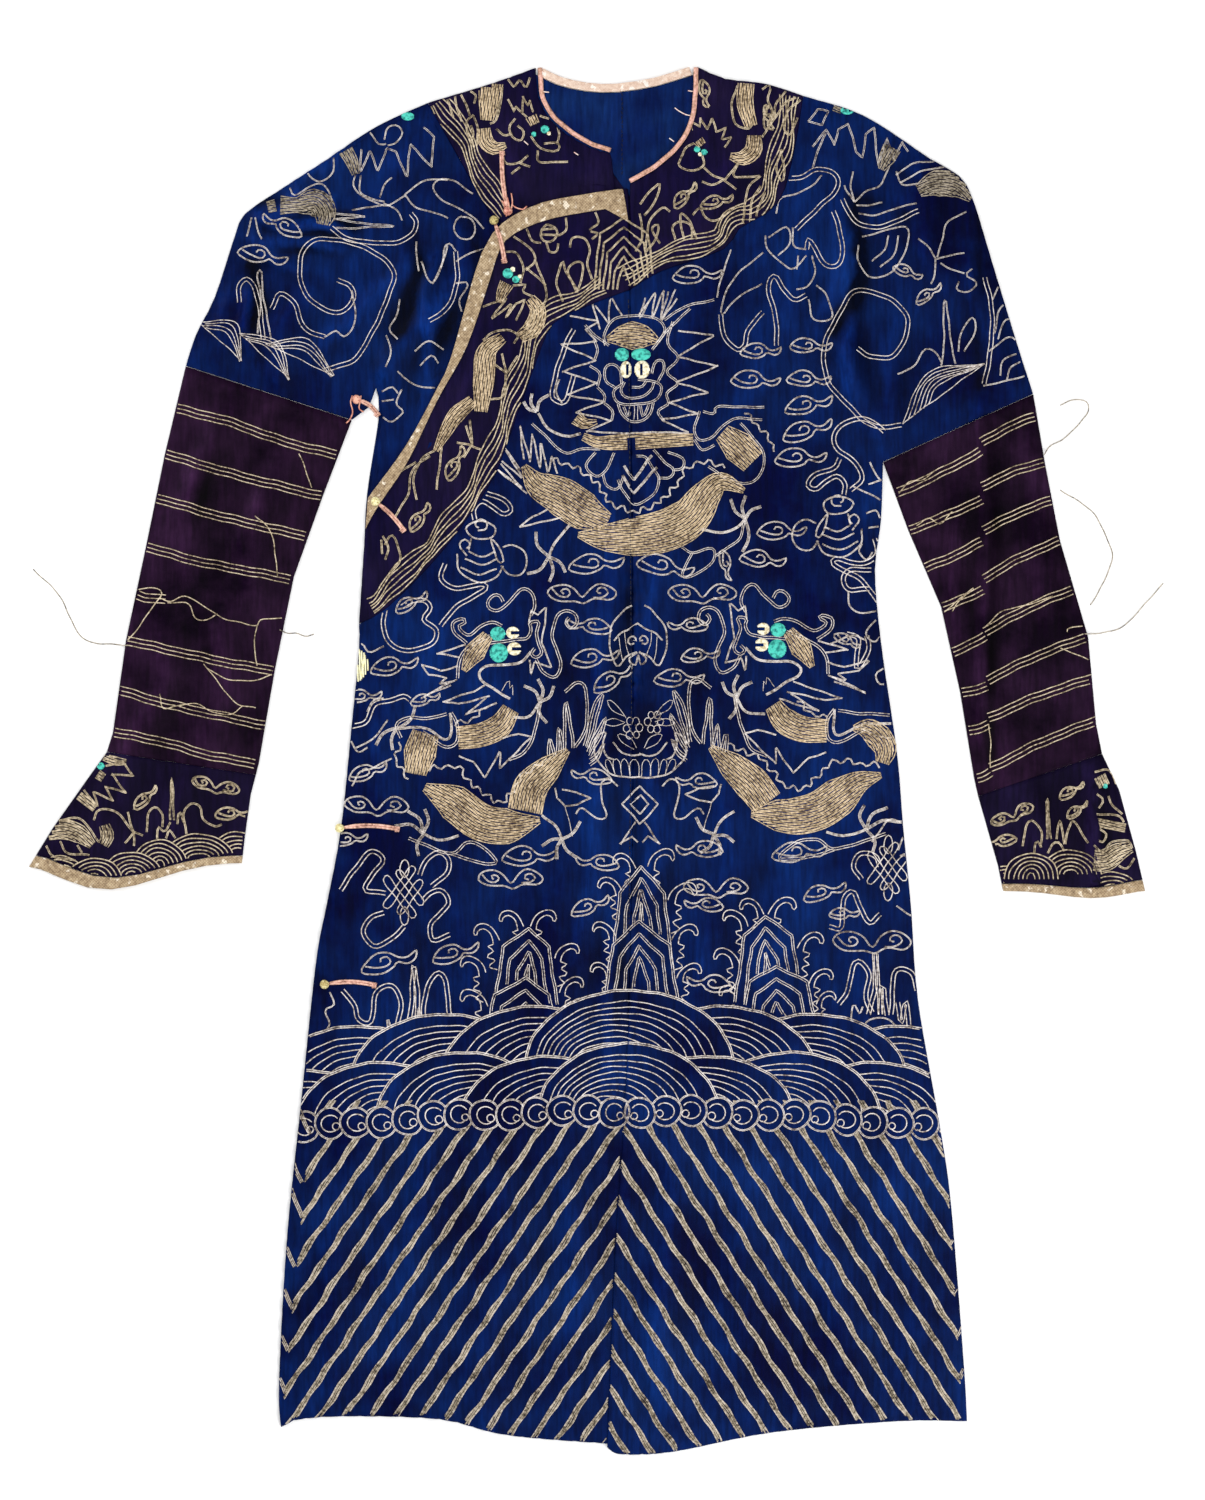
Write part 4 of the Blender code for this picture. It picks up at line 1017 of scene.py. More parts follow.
# Mountains
# Three peaks of nested chevrons stand in the waves, with foam curling off their sides.
PEAK_SPACING = 10.5
SHOULDER, FOOT_SPREAD = 0.76, 1.08                   # of a peak's half width
PEAKS = [  # across, foot, half width, top, rings, apex shifts across
    (522, 1032, 36, 978, 4, 4), (526, 990, 30, 928, 4, 3), (778, 1018, 38, 966, 4, -2),
    (768, 980, 31, 916, 4, -3), (641, 1000, 37, 921, 4, -2), (642, 956, 29, 866, 4, -1),
]
mountains = []
peak_covers = list(hill_covers)
for centre, foot, half, top, rings, shift in PEAKS:
    for ring in range(rings):
        wide = half - ring * PEAK_SPACING * 0.86
        apex = top + ring * PEAK_SPACING * 1.15
        shoulder = apex + (foot - top) * 0.3
        rim = [(centre - wide * FOOT_SPREAD, foot + 22), (centre - wide * SHOULDER, shoulder),
               (centre + shift, apex), (centre + wide * SHOULDER, shoulder),
               (centre + wide * FOOT_SPREAD, foot + 22)]
        couch(mountains, rim, 2, 2.1, sharp=True, thick=1.15, hidden_by=peak_covers)

    def covers(u, v, centre=centre, foot=foot, half=half, top=top):
        """Which places the peak covers."""
        away = np.abs(u - centre)
        reach = half * (SHOULDER + 0.32 * np.clip((v - top) / (foot - top) - 0.3, 0, 1))
        return (away < reach) & (v > top + away * (foot - top) * 0.39 / half)
    peak_covers.append(covers)
FOAM_HORN = [(0, 0), (3, -7), (9, -14), (18, -18), (26, -16), (29, -8), (26, -5), (24, -10),
             (18, -12), (11, -8), (8, -2), (7, 4)]
FOAM_EDGE = [(7, 4), (14, 7), (7, 12), (14, 18), (5, 22), (12, 29), (3, 33)]
FOAM = [  # across, down, side, size
    (488, 1006, -1, 0.95), (486, 972, -1, 0.9), (500, 940, -1, 0.9), (524, 926, -1, 0.85),
    (530, 926, 1, 0.9), (555, 958, 1, 0.85), (559, 992, 1, 0.85), (560, 1014, 1, 0.7),
    (742, 1000, -1, 0.8), (739, 964, -1, 0.9), (748, 926, -1, 0.9), (764, 914, -1, 0.85),
    (768, 914, 1, 0.95), (797, 948, 1, 0.9), (808, 984, 1, 0.85), (816, 1004, 1, 0.7),
    (612, 976, -1, 0.75), (615, 936, -1, 0.8), (622, 892, -1, 0.85), (636, 868, -1, 0.8),
    (647, 866, 1, 0.95), (668, 900, 1, 1.0), (672, 940, 1, 0.9), (677, 978, 1, 0.85),
]
for u, v, side, size in FOAM:
    for part in (FOAM_HORN, FOAM_EDGE):
        couch(mountains, [(u + side * size * x, v + size * y) for x, y in part], 1, thick=1.6,
              hidden_by=peak_covers, step=3.0)
stitch("mountains_and_foam", mountains, FRONT, weight=0.82)

# Figures
# Each figure is a list of couched lines: how many threads, round or sharp at its places, and
# the places, from the figure's own middle. A figure is set on the cloth turned and sized.


def at(u, v, size=1.0, turn=0.0, flip=1):
    """Where a figure's own places come on the cloth."""
    slope = turn * pi / 180

    def place(x, y):
        x, y = flip * size * x, size * y
        return u + x * cos(slope) - y * sin(slope), v + x * sin(slope) + y * cos(slope)
    return place


def figure(work, rows, place, gap=PAIR_GAP, hidden_by=(), thick=1.0):
    """Couches a figure at its place. Only its round pairs take the gap and thickness."""
    for threads, bend, places in rows:
        sharp = bend == "sharp"
        single = sharp or threads != 2
        couch(work, [place(x, y) for x, y in places], threads, PAIR_GAP if single else gap, sharp,
              1.0 if single else thick, hidden_by, 3.2)


ROW_PITCH, ROW_THICK = 1.45, 1.25
RIM_GAP, RIM_THICK = 0.9, 1.2


def fill(work, spine, widths, place=at(0, 0)):
    """Close rows of thread along a spine, within a width that changes from end to end."""
    line = drawn([place(x, y) for x, y in spine], tremble=0.0)
    share = np.linspace(0, 1, len(line))
    wide = np.interp(share, np.linspace(0, 1, len(widths)), widths)
    most = int(max(widths) / 2 / ROW_PITCH)
    for number in range(-most, most + 1):
        offset = number * ROW_PITCH
        weave = 0.35 * np.sin(share * len(line) * 0.9 + number * 2.4)
        row = beside(line, (offset + weave)[:, None])
        inside = np.abs(offset) <= wide / 2 + 0.3
        work.extend((row[start:end], ROW_THICK) for start, end in stretches(inside))
    for side in (-1, 1):
        work.append((beside(line, (side * (wide / 2 + RIM_GAP))[:, None]), RIM_THICK))


FIN_STEPS = np.array([0.0, 0.85, 1.0, 0.3])


def fins(work, path, height, pitch=12.0, place=at(0, 0)):
    """A stepped row of low uneven fins along a dragon's back."""
    line = drawn([place(x, y) for x, y in path], step=pitch / 4, tremble=0.0)
    number = np.arange(len(line))
    rise = FIN_STEPS[number % 4] * (0.85 + 0.3 * np.sin(number * 0.9))
    couch(work, beside(line, (height * rise)[:, None]), 2, sharp=True)


CLOUD = [
    (2, "round", [(29, -6), (20, -2), (12, -3), (4, -9), (-7, -10), (-17, -5), (-23, 3), (-15, 7),
        (-3, 8), (7, 5), (11, 1), (20, 4), (27, 1), (29, -6)]),
    (2, "round", [(-19, -1), (-10, 2), (0, 3), (5, 0), (3, -5), (-3, -5), (-4, -2)]),
]
DOUBLE_CLOUD = [
    (2, "round", [(-34, 0), (-30, -7), (-17, -9), (-8, -5), (0, 4), (8, -5), (17, -10), (28, -7),
        (34, 0), (27, 6), (12, 5), (2, 10), (-8, 7), (-24, 7), (-34, 0)]),
    (2, "round", [(-30, -5), (-24, 2), (-16, 3), (-12, -1), (-16, -5), (-21, -3), (-18, 0)]),
    (2, "round", [(11, 4), (20, 3), (26, -1), (22, -6), (16, -5), (15, -1), (19, 0)]),
]
CLOUD_KINDS = {1: CLOUD, 2: DOUBLE_CLOUD}
CLOUDS = [  # across, down, size, turn, flip, lobes
    (593, 565, 1.05, -2, 1, 1), (582, 594, 1.0, 0, 1, 2), (592, 627, 0.85, 4, -1, 1),
    (592, 659, 0.95, -6, 1, 1), (611, 681, 0.9, -28, 1, 1), (392, 667, 0.95, -8, 1, 1),
    (362, 697, 0.7, -4, 1, 1), (366, 773, 0.8, -16, 1, 1), (377, 806, 0.95, 2, 1, 2),
    (348, 840, 0.7, -6, 1, 1), (386, 963, 1.1, -12, 1, 1), (594, 777, 0.8, 6, -1, 1),
    (526, 857, 1.05, 0, 1, 1), (511, 879, 0.95, 0, 1, 2), (600, 863, 0.85, 5, -1, 1),
    (588, 907, 0.8, -20, 1, 1), (584, 1006, 0.75, 0, 1, 1), (453, 954, 0.95, -14, 1, 1),
    (662, 567, 1.1, 14, 1, 1), (702, 594, 1.0, 0, 1, 2), (690, 626, 0.75, -4, -1, 1),
    (698, 656, 0.75, -4, 1, 1), (676, 679, 0.95, 2, 1, 1), (699, 782, 0.8, 0, -1, 1),
    (702, 850, 0.9, -2, -1, 1), (796, 853, 1.05, -2, 1, 1), (822, 893, 0.85, -14, 1, 1),
    (872, 942, 1.15, 0, 1, 2), (694, 276, 0.95, 0, 1, 1), (758, 352, 0.8, 0, 1, 1),
    (808, 347, 0.8, 4, 1, 1), (752, 381, 0.95, 6, 1, 1), (806, 380, 0.85, 4, 1, 1),
    (806, 406, 0.95, -10, 1, 1), (804, 432, 1.0, -14, 1, 1), (797, 459, 1.0, 0, 1, 1),
    (778, 532, 0.95, 2, 1, 1), (760, 560, 0.9, 8, 1, 1), (725, 564, 0.6, 80, 1, 1),
    (716, 888, 0.95, 0, 1, 2), (706, 905, 0.75, 0, -1, 1), (712, 984, 0.9, 6, -1, 1),
    (842, 914, 0.6, 0, 1, 1), (905, 272, 0.6, 24, 1, 1), (927, 296, 0.6, -34, 1, 1),
    (285, 228, 0.85, 22, -1, 1), (260, 256, 0.95, 16, 1, 1), (410, 604, 0.7, -26, 1, 1),
    (424, 700, 0.6, -10, 1, 1), (845, 640, 0.55, 30, 1, 1),
]
clouds = []
for u, v, size, turn, flip, lobes in CLOUDS:
    figure(clouds, CLOUD_KINDS[lobes], at(u, v, size, turn, flip), hidden_by=hill_covers)
stitch("clouds", clouds, FRONT, weight=0.72)

# Side dragons
# Two dragons face each other in profile below the chest. Body and brow are filled with close
# gold rows, the rest is drawn in couched pairs. Places run out from the line between them.
DRAGON_BODY = [  # spine, widths
    ([(149, -5), (163, 14), (173, 31)], [9, 19, 3]),
    ([(126, 69), (137, 86), (156, 95), (179, 98)], [15, 22, 21, 20]),
    ([(211, 93), (217, 114), (221, 134)], [24, 30, 18]),
    ([(212, 147), (184, 162), (156, 182), (128, 186), (97, 180)], [6, 34, 35, 33, 4]),
    ([(112, 171), (106, 147), (89, 129), (69, 110)], [32, 32, 23, 3]),
]
LEFT_BODY = [  # the wearer's left dragon curls out wider towards its tail
    DRAGON_BODY[0], ([(134, 69), (145, 84), (163, 93), (188, 95)], [15, 24, 23, 20]),
    ([(214, 92), (228, 93), (240, 102), (246, 114), (243, 127)], [3, 19, 24, 21, 11]),
    ([(242, 139), (220, 146), (202, 159), (180, 174), (157, 180), (135, 179), (112, 178)],
        [3, 20, 36, 36, 35, 28, 4]),
    ([(128, 167), (113, 148), (93, 130), (71, 111)], [30, 33, 24, 3]),
]
DRAGON_FINS = [  # the line they stand on, height
    ([(182, 86), (162, 80), (148, 66)], 4),
    ([(208, 131), (182, 129), (166, 146), (142, 163), (126, 158), (114, 138), (99, 128),
        (86, 121)], 5),
    ([(238, 102), (243, 118), (230, 140)], 4),
]
LEFT_FINS = [
    ([(190, 84), (171, 79), (157, 66)], 4),
    ([(240, 132), (219, 129), (194, 128), (183, 139), (171, 151), (157, 155), (143, 150),
        (132, 138), (120, 123), (104, 119), (88, 108)], 5),
]
DRAGON_LINES = [
    (2, "round", [(170, 3), (182, -6), (184, -17), (175, -21), (172, -18), (178, -14), (175, -9),
        (167, -5), (156, -14), (144, -17), (135, -14)]),
    (2, "round", [(147, -4), (163, 4), (176, 17), (180, 38)]),
    (3, "round", [(106, 12), (115, 21), (127, 25), (149, 26), (158, 32), (156, 40), (147, 46),
        (138, 52), (127, 59)]),
    (2, "round", [(147, 3), (119, 0), (110, -2), (106, -10), (107, -17), (98, -18), (101, -7),
        (98, 4), (95, 13), (101, 18), (106, 14), (102, 9)]),
    (2, "sharp", [(107, 20), (106, 34), (102, 23), (86, 27), (95, 3), (92, -17), (91, -32),
        (99, -25), (106, -30), (108, -16)]),
    (2, "round", [(134, -38), (138, -44), (144, -44), (149, -38), (147, -31), (138, -29),
        (126, -40), (115, -51), (106, -47), (102, -34), (106, -24)]),
    (2, "round", [(68, -22), (71, -17), (66, -11), (60, -16), (62, -25), (71, -29), (80, -23),
        (85, -6), (80, 10), (76, 23), (80, 35), (86, 37), (95, 31), (101, 20)]),
    (2, "sharp", [(171, 5), (200, 14), (177, 17)]),
    (2, "sharp", [(179, 26), (196, 31), (215, 25), (208, 35), (190, 38), (197, 44), (184, 41)]),
    (2, "sharp", [(180, 39), (213, 57), (186, 45)]),
    (2, "sharp", [(147, 56), (178, 64), (194, 62), (162, 51), (152, 45)]),
    (2, "sharp", [(140, 63), (172, 75), (150, 58)]),
    (1, "round", [(135, 51), (128, 41), (127, 48), (124, 44), (124, 55)]),
    (3, "round", [(239, 88), (213, 88), (193, 99), (186, 94), (186, 73)]),
    (2, "round", [(186, 73), (179, 86), (180, 102), (190, 107), (205, 98), (214, 92)]),
    (2, "round", [(236, 98), (240, 84), (226, 78), (208, 78), (190, 74)]),
    (2, "round", [(88, 116), (87, 98), (82, 116)]), (2, "round", [(80, 114), (78, 88), (74, 113)]),
    (2, "round", [(73, 110), (71, 62), (66, 88), (64, 108)]),
    (2, "round", [(52, 106), (44, 70), (34, 54), (41, 80), (49, 108)]),
    (2, "round", [(72, 52), (60, 43), (51, 50), (50, 78), (55, 97), (62, 107)]),
    (2, "round", [(49, 112), (40, 92), (31, 78), (37, 96), (47, 116)]),
    (2, "round", [(47, 120), (38, 113), (33, 103), (39, 118), (47, 125)]),
    (3, "round", [(126, 78), (108, 76), (97, 62)]),
    (3, "round", [(178, 196), (197, 200), (213, 193)]),
    (3, "round", [(95, 175), (81, 186), (75, 199)]),
    (2, "sharp", [(178, 116), (164, 122), (152, 137), (137, 112), (137, 128), (105, 97), (118, 94),
        (137, 99)]),
    (2, "round", [(96, 62), (102, 90), (112, 112), (128, 120)]),
    (2, "sharp", [(75, 150), (60, 152), (46, 158), (60, 164), (72, 166), (80, 158), (82, 148)]),
    (1, "round", [(72, 166), (68, 182), (64, 196)]),
    (2, "round", [(228, 198), (204, 208), (184, 213), (170, 203), (155, 206), (140, 222),
        (158, 222), (186, 214)]),
]
CLAW_FINGERS = [  # wrist, then the tips of its fingers
    ((97, 62), [(113, 46), (99, 39), (83, 46), (90, 83)]),
    ((239, 88), [(261, 105), (244, 110), (221, 66)]),
    ((213, 193), [(212, 169), (229, 171), (242, 186), (218, 216)]),
    ((75, 199), [(95, 206), (80, 219), (61, 217), (57, 181)]),
]
DRAGON_AXIS, DRAGON_LEVEL = 637.0, 640.0
LEFT_SHIFT = (2, -4)       # the left dragon stands this far over and down
WIDER_FROM, WIDER_BY = 145, 9
TAIL_FROM, TAIL_STRETCH = 200, 0.35


def fingers(work, claws, place):
    """Splayed fingers, each of three threads bent a little on the way to its tip."""
    for wrist, tips in claws:
        for tip in tips:
            middle = ((wrist[0] + tip[0]) / 2 + 0.16 * (tip[1] - wrist[1]),
                      (wrist[1] + tip[1]) / 2 - 0.16 * (tip[0] - wrist[0]))
            couch(work, [place(*wrist), place(*middle), place(*tip)], 3, 1.1, step=3.0)


right_dragon = at(DRAGON_AXIS, DRAGON_LEVEL, flip=-1)
left_body_place = at(DRAGON_AXIS + LEFT_SHIFT[0], DRAGON_LEVEL + LEFT_SHIFT[1])


def left_dragon(x, y):
    """Where a place of the right dragon comes on the wider left one."""
    wider = WIDER_BY * min(max((x - WIDER_FROM) / 30, 0), 1) + TAIL_STRETCH * max(x - TAIL_FROM, 0)
    return left_body_place(x + wider, y)


dragon_lines, dragon_gold = [], []
for place, body_place, side, fin_rows, body, claws in (
        (right_dragon, right_dragon, -1, DRAGON_FINS, DRAGON_BODY, CLAW_FINGERS),
        (left_dragon, left_body_place, 1, LEFT_FINS, LEFT_BODY,
         CLAW_FINGERS[:1] + CLAW_FINGERS[2:])):
    figure(dragon_lines, DRAGON_LINES, place, 2.3, thick=1.15)
    fingers(dragon_lines, claws, place)
    for path, height in fin_rows:
        fins(dragon_lines, path, height * side, 13.0, body_place)
    for spine, widths in body:
        fill(dragon_gold, spine, widths, body_place)

# Chest dragon
# A dragon looks straight out from the chest, its head ringed by a spiky mane, with a flaming
# pearl below its chin and its gold body curling round beneath.
CHEST_BODY = [
    ([(607, 340), (620, 337), (634, 336), (648, 338), (657, 341)], [3, 17, 26, 20, 4]),
    ([(583, 437), (600, 443), (628, 442), (660, 441), (693, 440)], [5, 12, 14, 11, 9]),
    ([(576, 418), (585, 424), (597, 422)], [12, 8, 2]),
    ([(722, 433), (738, 447), (753, 462)], [16, 30, 24]),
    ([(524, 466), (537, 484), (560, 496), (585, 512), (608, 522)], [3, 26, 37, 36, 14]),
    ([(578, 535), (600, 538), (632, 537), (665, 531), (690, 517), (707, 494), (722, 482),
        (744, 491)], [3, 24, 36, 39, 39, 32, 18, 3]),
]
CHEST_LINES = [
    (2, "round", [(605, 346), (604, 336), (610, 324), (622, 317), (642, 316), (657, 320),
        (665, 331), (656, 345)]),
    (2, "round", [(609, 346), (597, 337), (585, 326)]),
    (2, "round", [(652, 350), (672, 326), (690, 309)]),
    (2, "round", [(664, 320), (684, 308), (714, 300)]),
    (2, "sharp", [(600, 330), (592, 301), (609, 324), (610, 295), (622, 316)]),
    (2, "sharp", [(638, 316), (655, 294), (652, 319), (664, 291), (661, 322), (677, 299)]),
    (2, "sharp", [(570, 316), (598, 322), (586, 330), (597, 342), (561, 345), (596, 361),
        (562, 372), (598, 383), (567, 395), (604, 402), (576, 413), (612, 421), (586, 432),
        (640, 434)]),
    (2, "round", [(594, 340), (598, 350), (594, 362)]),
    (2, "round", [(590, 366), (600, 374), (597, 386)]),
    (2, "round", [(597, 388), (605, 396), (604, 404)]),
    (2, "round", [(604, 404), (613, 412), (612, 421)]),
    (2, "sharp", [(678, 331), (713, 336), (677, 358), (718, 366), (677, 383), (708, 393),
        (668, 403), (698, 414), (662, 420), (688, 433), (640, 433)]),
    (2, "round", [(672, 322), (668, 344), (678, 358), (667, 372), (678, 384), (666, 394),
        (668, 404), (658, 412), (664, 421)]),
    (2, "round", [(616, 389), (606, 382), (605, 369), (612, 365), (620, 371), (622, 384)]),
    (2, "round", [(652, 374), (656, 362), (663, 361), (664, 370), (658, 382)]),
    (2, "round", [(622, 384), (614, 392), (617, 402), (628, 405), (645, 404), (658, 398),
        (661, 387), (652, 381), (638, 380)]),
    (2, "round", [(624, 382), (621, 391), (628, 398), (642, 397), (652, 390), (654, 383)]),
    (2, "round", [(632, 388), (641, 387), (646, 381)]),
    (2, "round", [(618, 404), (621, 414), (630, 421), (642, 421), (650, 414), (654, 403)]),
    (2, "round", [(624, 407), (628, 417), (631, 406)]),
    (2, "round", [(641, 406), (643, 417), (649, 405)]), (1, "sharp", [(634, 406), (634, 420)]),
    (1, "sharp", [(638, 406), (638, 420)]),
    (3, "round", [(538, 414), (550, 430), (569, 437), (581, 434)]),
    (2, "round", [(532, 424), (549, 440), (565, 453), (580, 450), (600, 449)]),
    (2, "round", [(700, 412), (694, 430), (699, 441), (712, 437), (724, 425), (738, 419),
        (762, 420)]),
    (2, "round", [(694, 440), (702, 451), (714, 445)]),
    (2, "round", [(703, 412), (714, 414), (720, 407), (764, 408)]),
    (2, "round", [(740, 424), (755, 440), (764, 456), (758, 478), (744, 484), (728, 479),
        (708, 467)]),
    (2, "round", [(596, 453), (586, 466), (596, 477), (605, 472), (614, 453)]),
    (2, "round", [(603, 475), (606, 486), (617, 489), (624, 476)]),
    (2, "round", [(654, 450), (664, 462), (673, 470), (669, 478), (658, 479)]),
    (2, "round", [(668, 452), (683, 459), (682, 468), (673, 470)]),
    (3, "sharp", [(624, 466), (634, 480), (652, 456)]),
    (3, "sharp", [(622, 476), (634, 493), (657, 468)]),
    (2, "round", [(636, 457), (646, 458), (653, 469), (659, 480), (652, 496), (635, 505),
        (624, 492), (618, 480)]),
    (2, "sharp", [(524, 460), (520, 426), (530, 462), (532, 434), (540, 468), (541, 444),
        (548, 472), (552, 457), (557, 474)]),
    (2, "sharp", [(520, 470), (500, 440), (522, 478), (492, 454), (522, 488), (498, 470),
        (527, 494)]),
    (3, "round", [(571, 524), (557, 540), (549, 557)]),
    (3, "round", [(700, 529), (718, 533), (736, 528), (745, 519)]),
    (2, "sharp", [(548, 509), (533, 517), (520, 527), (545, 522), (562, 517)]),
    (2, "round", [(682, 547), (692, 553), (712, 549), (714, 560), (700, 572), (682, 576),
        (692, 552)]),
    (2, "round", [(744, 522), (738, 540), (716, 556)]),
]
chest_claws = [((549, 557), [(527, 574), (549, 582), (565, 573), (536, 532)]),
               ((745, 519), [(731, 499), (746, 496), (761, 507), (742, 552)]),
               ((537, 412), [(532, 394), (549, 395), (524, 402)])]
figure(dragon_lines, CHEST_LINES, at(0, 0), 1.7)
fingers(dragon_lines, chest_claws, at(0, 0))
for path, height in (([(550, 462), (574, 470), (594, 484), (606, 502), (630, 514), (654, 508),
                       (672, 494), (686, 474), (702, 464), (724, 470)], -5),
                       ([(744, 414), (764, 436), (774, 452)], -4)):
    fins(dragon_lines, path, height, 12.0)
for spine, widths in CHEST_BODY:
    fill(dragon_gold, spine, widths)
stitch("dragon_outlines", dragon_lines, FRONT, weight=0.84)
stitch("dragon_gold", dragon_gold, FRONT, fill_gold)

# Emblems on the skirt and chest
# Between the dragons are a bat, a flower basket and a pair of teapots, with endless knots and
# water plants at the sides, all in couched pairs with curling ribbons.
emblems = []
BAT_WING = [
    (2, "round", [(6, -37), (14, -32), (27, -16), (28, 4), (21, 23), (11, 14), (1, 9)]),
    (2, "round", [(24, -2), (17, -10), (9, -13), (0, -20)]),
    (1, "round", [(19, -6), (18, 4), (16, 18)]), (1, "round", [(13, -11), (12, 2), (9, 12)]),
    (2, "round", [(4, 0), (9, 1), (9, -5), (4, -7), (1, -2), (5, -2)]),
    (2, "round", [(1, 9), (9, 16), (3, 22), (0, 12)]),
]
for flip in (-1, 1):
    figure(emblems, BAT_WING, at(638, 643, 1.0, 0, flip))
BASKET_HALF = [
    (2, "round", [(-2, 25), (14, 25), (30, 21), (40, 12), (46, 0), (43, -14), (34, -20), (37, -8),
        (33, 4), (26, 8)]),
    (2, "round", [(-1, 2), (8, 4), (19, 0), (27, -10)]),
    (1, "round", [(1, 24), (2, 12), (6, 7), (10, 12), (10, 24)]),
    (1, "round", [(10, 24), (12, 11), (16, 6), (19, 11), (18, 24)]),
    (1, "round", [(18, 23), (21, 10), (25, 7), (27, 12), (25, 22)]),
    (1, "round", [(25, 22), (30, 9), (34, 7), (35, 13), (31, 20)]),
    (1, "round", [(14, -34), (22, -46), (32, -52), (28, -42), (16, -36)]),
    (1, "round", [(15, -30), (27, -33), (36, -29), (27, -26), (16, -28)]),
    (1, "round", [(4, -4), (10, -14), (22, -18), (18, -9), (6, -3)]),
    (2, "round", [(22, 34), (30, 27), (38, 31), (38, 48), (34, 64), (44, 66), (58, 56), (64, 62)]),
    (2, "sharp", [(0, 34), (18, 52), (0, 72)]), (2, "sharp", [(0, 43), (9, 52), (0, 62)]),
    (2, "sharp", [(4, 70), (20, 92), (8, 84), (2, 90)]),
]
for flip in (-1, 1):
    figure(emblems, BASKET_HALF, at(640, 752, 1.0, 0, flip))
for u, v in ((633, 728), (654, 722)):
    for petal in range(6):
        turn = petal * pi / 3
        ring = rounded(u + 6.5 * cos(turn), v + 8.0 * sin(turn), 3.2, 3.9, 9)
        couch(emblems, ring, 1, thick=1.2, step=2.2)
TEAPOT = [
    (2, "round", [(-17, -22), (-8, -14), (8, -14), (13, -24), (3, -30), (-10, -29), (-17, -22)]),
    (2, "round", [(-5, -21), (3, -22), (4, -29), (-3, -32), (-8, -27), (-4, -24)]),
    (2, "round", [(-11, -13), (-14, -2)]), (2, "round", [(-14, -1), (-1, 5), (12, 0)]),
    (2, "round", [(-18, 7), (-2, 13), (14, 7)]), (2, "round", [(-22, 15), (-4, 23), (14, 17)]),
    (2, "round", [(-26, 2), (-24, 18), (-6, 30), (12, 27), (20, 14)]),
    (2, "round", [(8, -13), (17, -3), (20, 10), (14, 7), (8, -13)]),
    (2, "round", [(20, -4), (30, -7), (41, -1), (44, 11), (38, 22), (26, 23), (18, 14)]),
    (2, "round", [(-16, 4), (-23, -6), (-18, -12), (-12, -7), (-16, -3)]),
    (2, "round", [(-38, 12), (-41, 28), (-25, 37), (-2, 32), (2, 38), (-24, 53), (-42, 74)]),
    (2, "round", [(-8, -32), (-9, -42), (-1, -50), (9, -46), (20, -38), (28, -42), (22, -52),
        (2, -59), (-4, -68)]),
]
for u, v, flip in ((483, 552, 1), (836, 527, -1)):
    figure(emblems, TEAPOT[:-2], at(u, v, 1.0, 0, flip))
    figure(emblems, TEAPOT[-2:], at(u, v, 1.0, 0, flip), WIDE_GAP, (), WIDE_THICK)
KNOT_PITCH, KNOT_HALF, KNOT_WIDE = 8.0, 23.0, 4.0    # of its long loops, two each way
KNOT_SLANT, KNOT_NARROWED = 54 * pi / 180, 0.8
for centre_u, centre_v in ((405, 892), (888, 868)):
    for side in (-1, 1):
        slope = side * KNOT_SLANT
        for row in (-1, 1):
            reach = KNOT_HALF + row * side * 2
            loop = [(x, row * KNOT_PITCH + y) for x, y in (
                (-reach, 0), (-reach + 4, -KNOT_WIDE), (0, -KNOT_WIDE), (reach - 4, -KNOT_WIDE),
                (reach, 0), (reach - 4, KNOT_WIDE), (0, KNOT_WIDE), (-reach + 4, KNOT_WIDE),
                (-reach, 0))]
            turned = [(centre_u + x * cos(slope) - y * sin(slope) * KNOT_NARROWED,
                       centre_v + x * sin(slope) + y * cos(slope)) for x, y in loop]
            couch(emblems, turned, 1, thick=WIDE_THICK, step=3.0)
        ends = [(centre_u + 4.4 * sin(a), centre_v + side * (24 + 9 * cos(a)))
                for a in np.linspace(0, 2 * pi, 11)]
        couch(emblems, ends, 1, thick=WIDE_THICK, step=3.0)
LONG_RIBBON = 52.0         # ribbons longer than this are double outlines
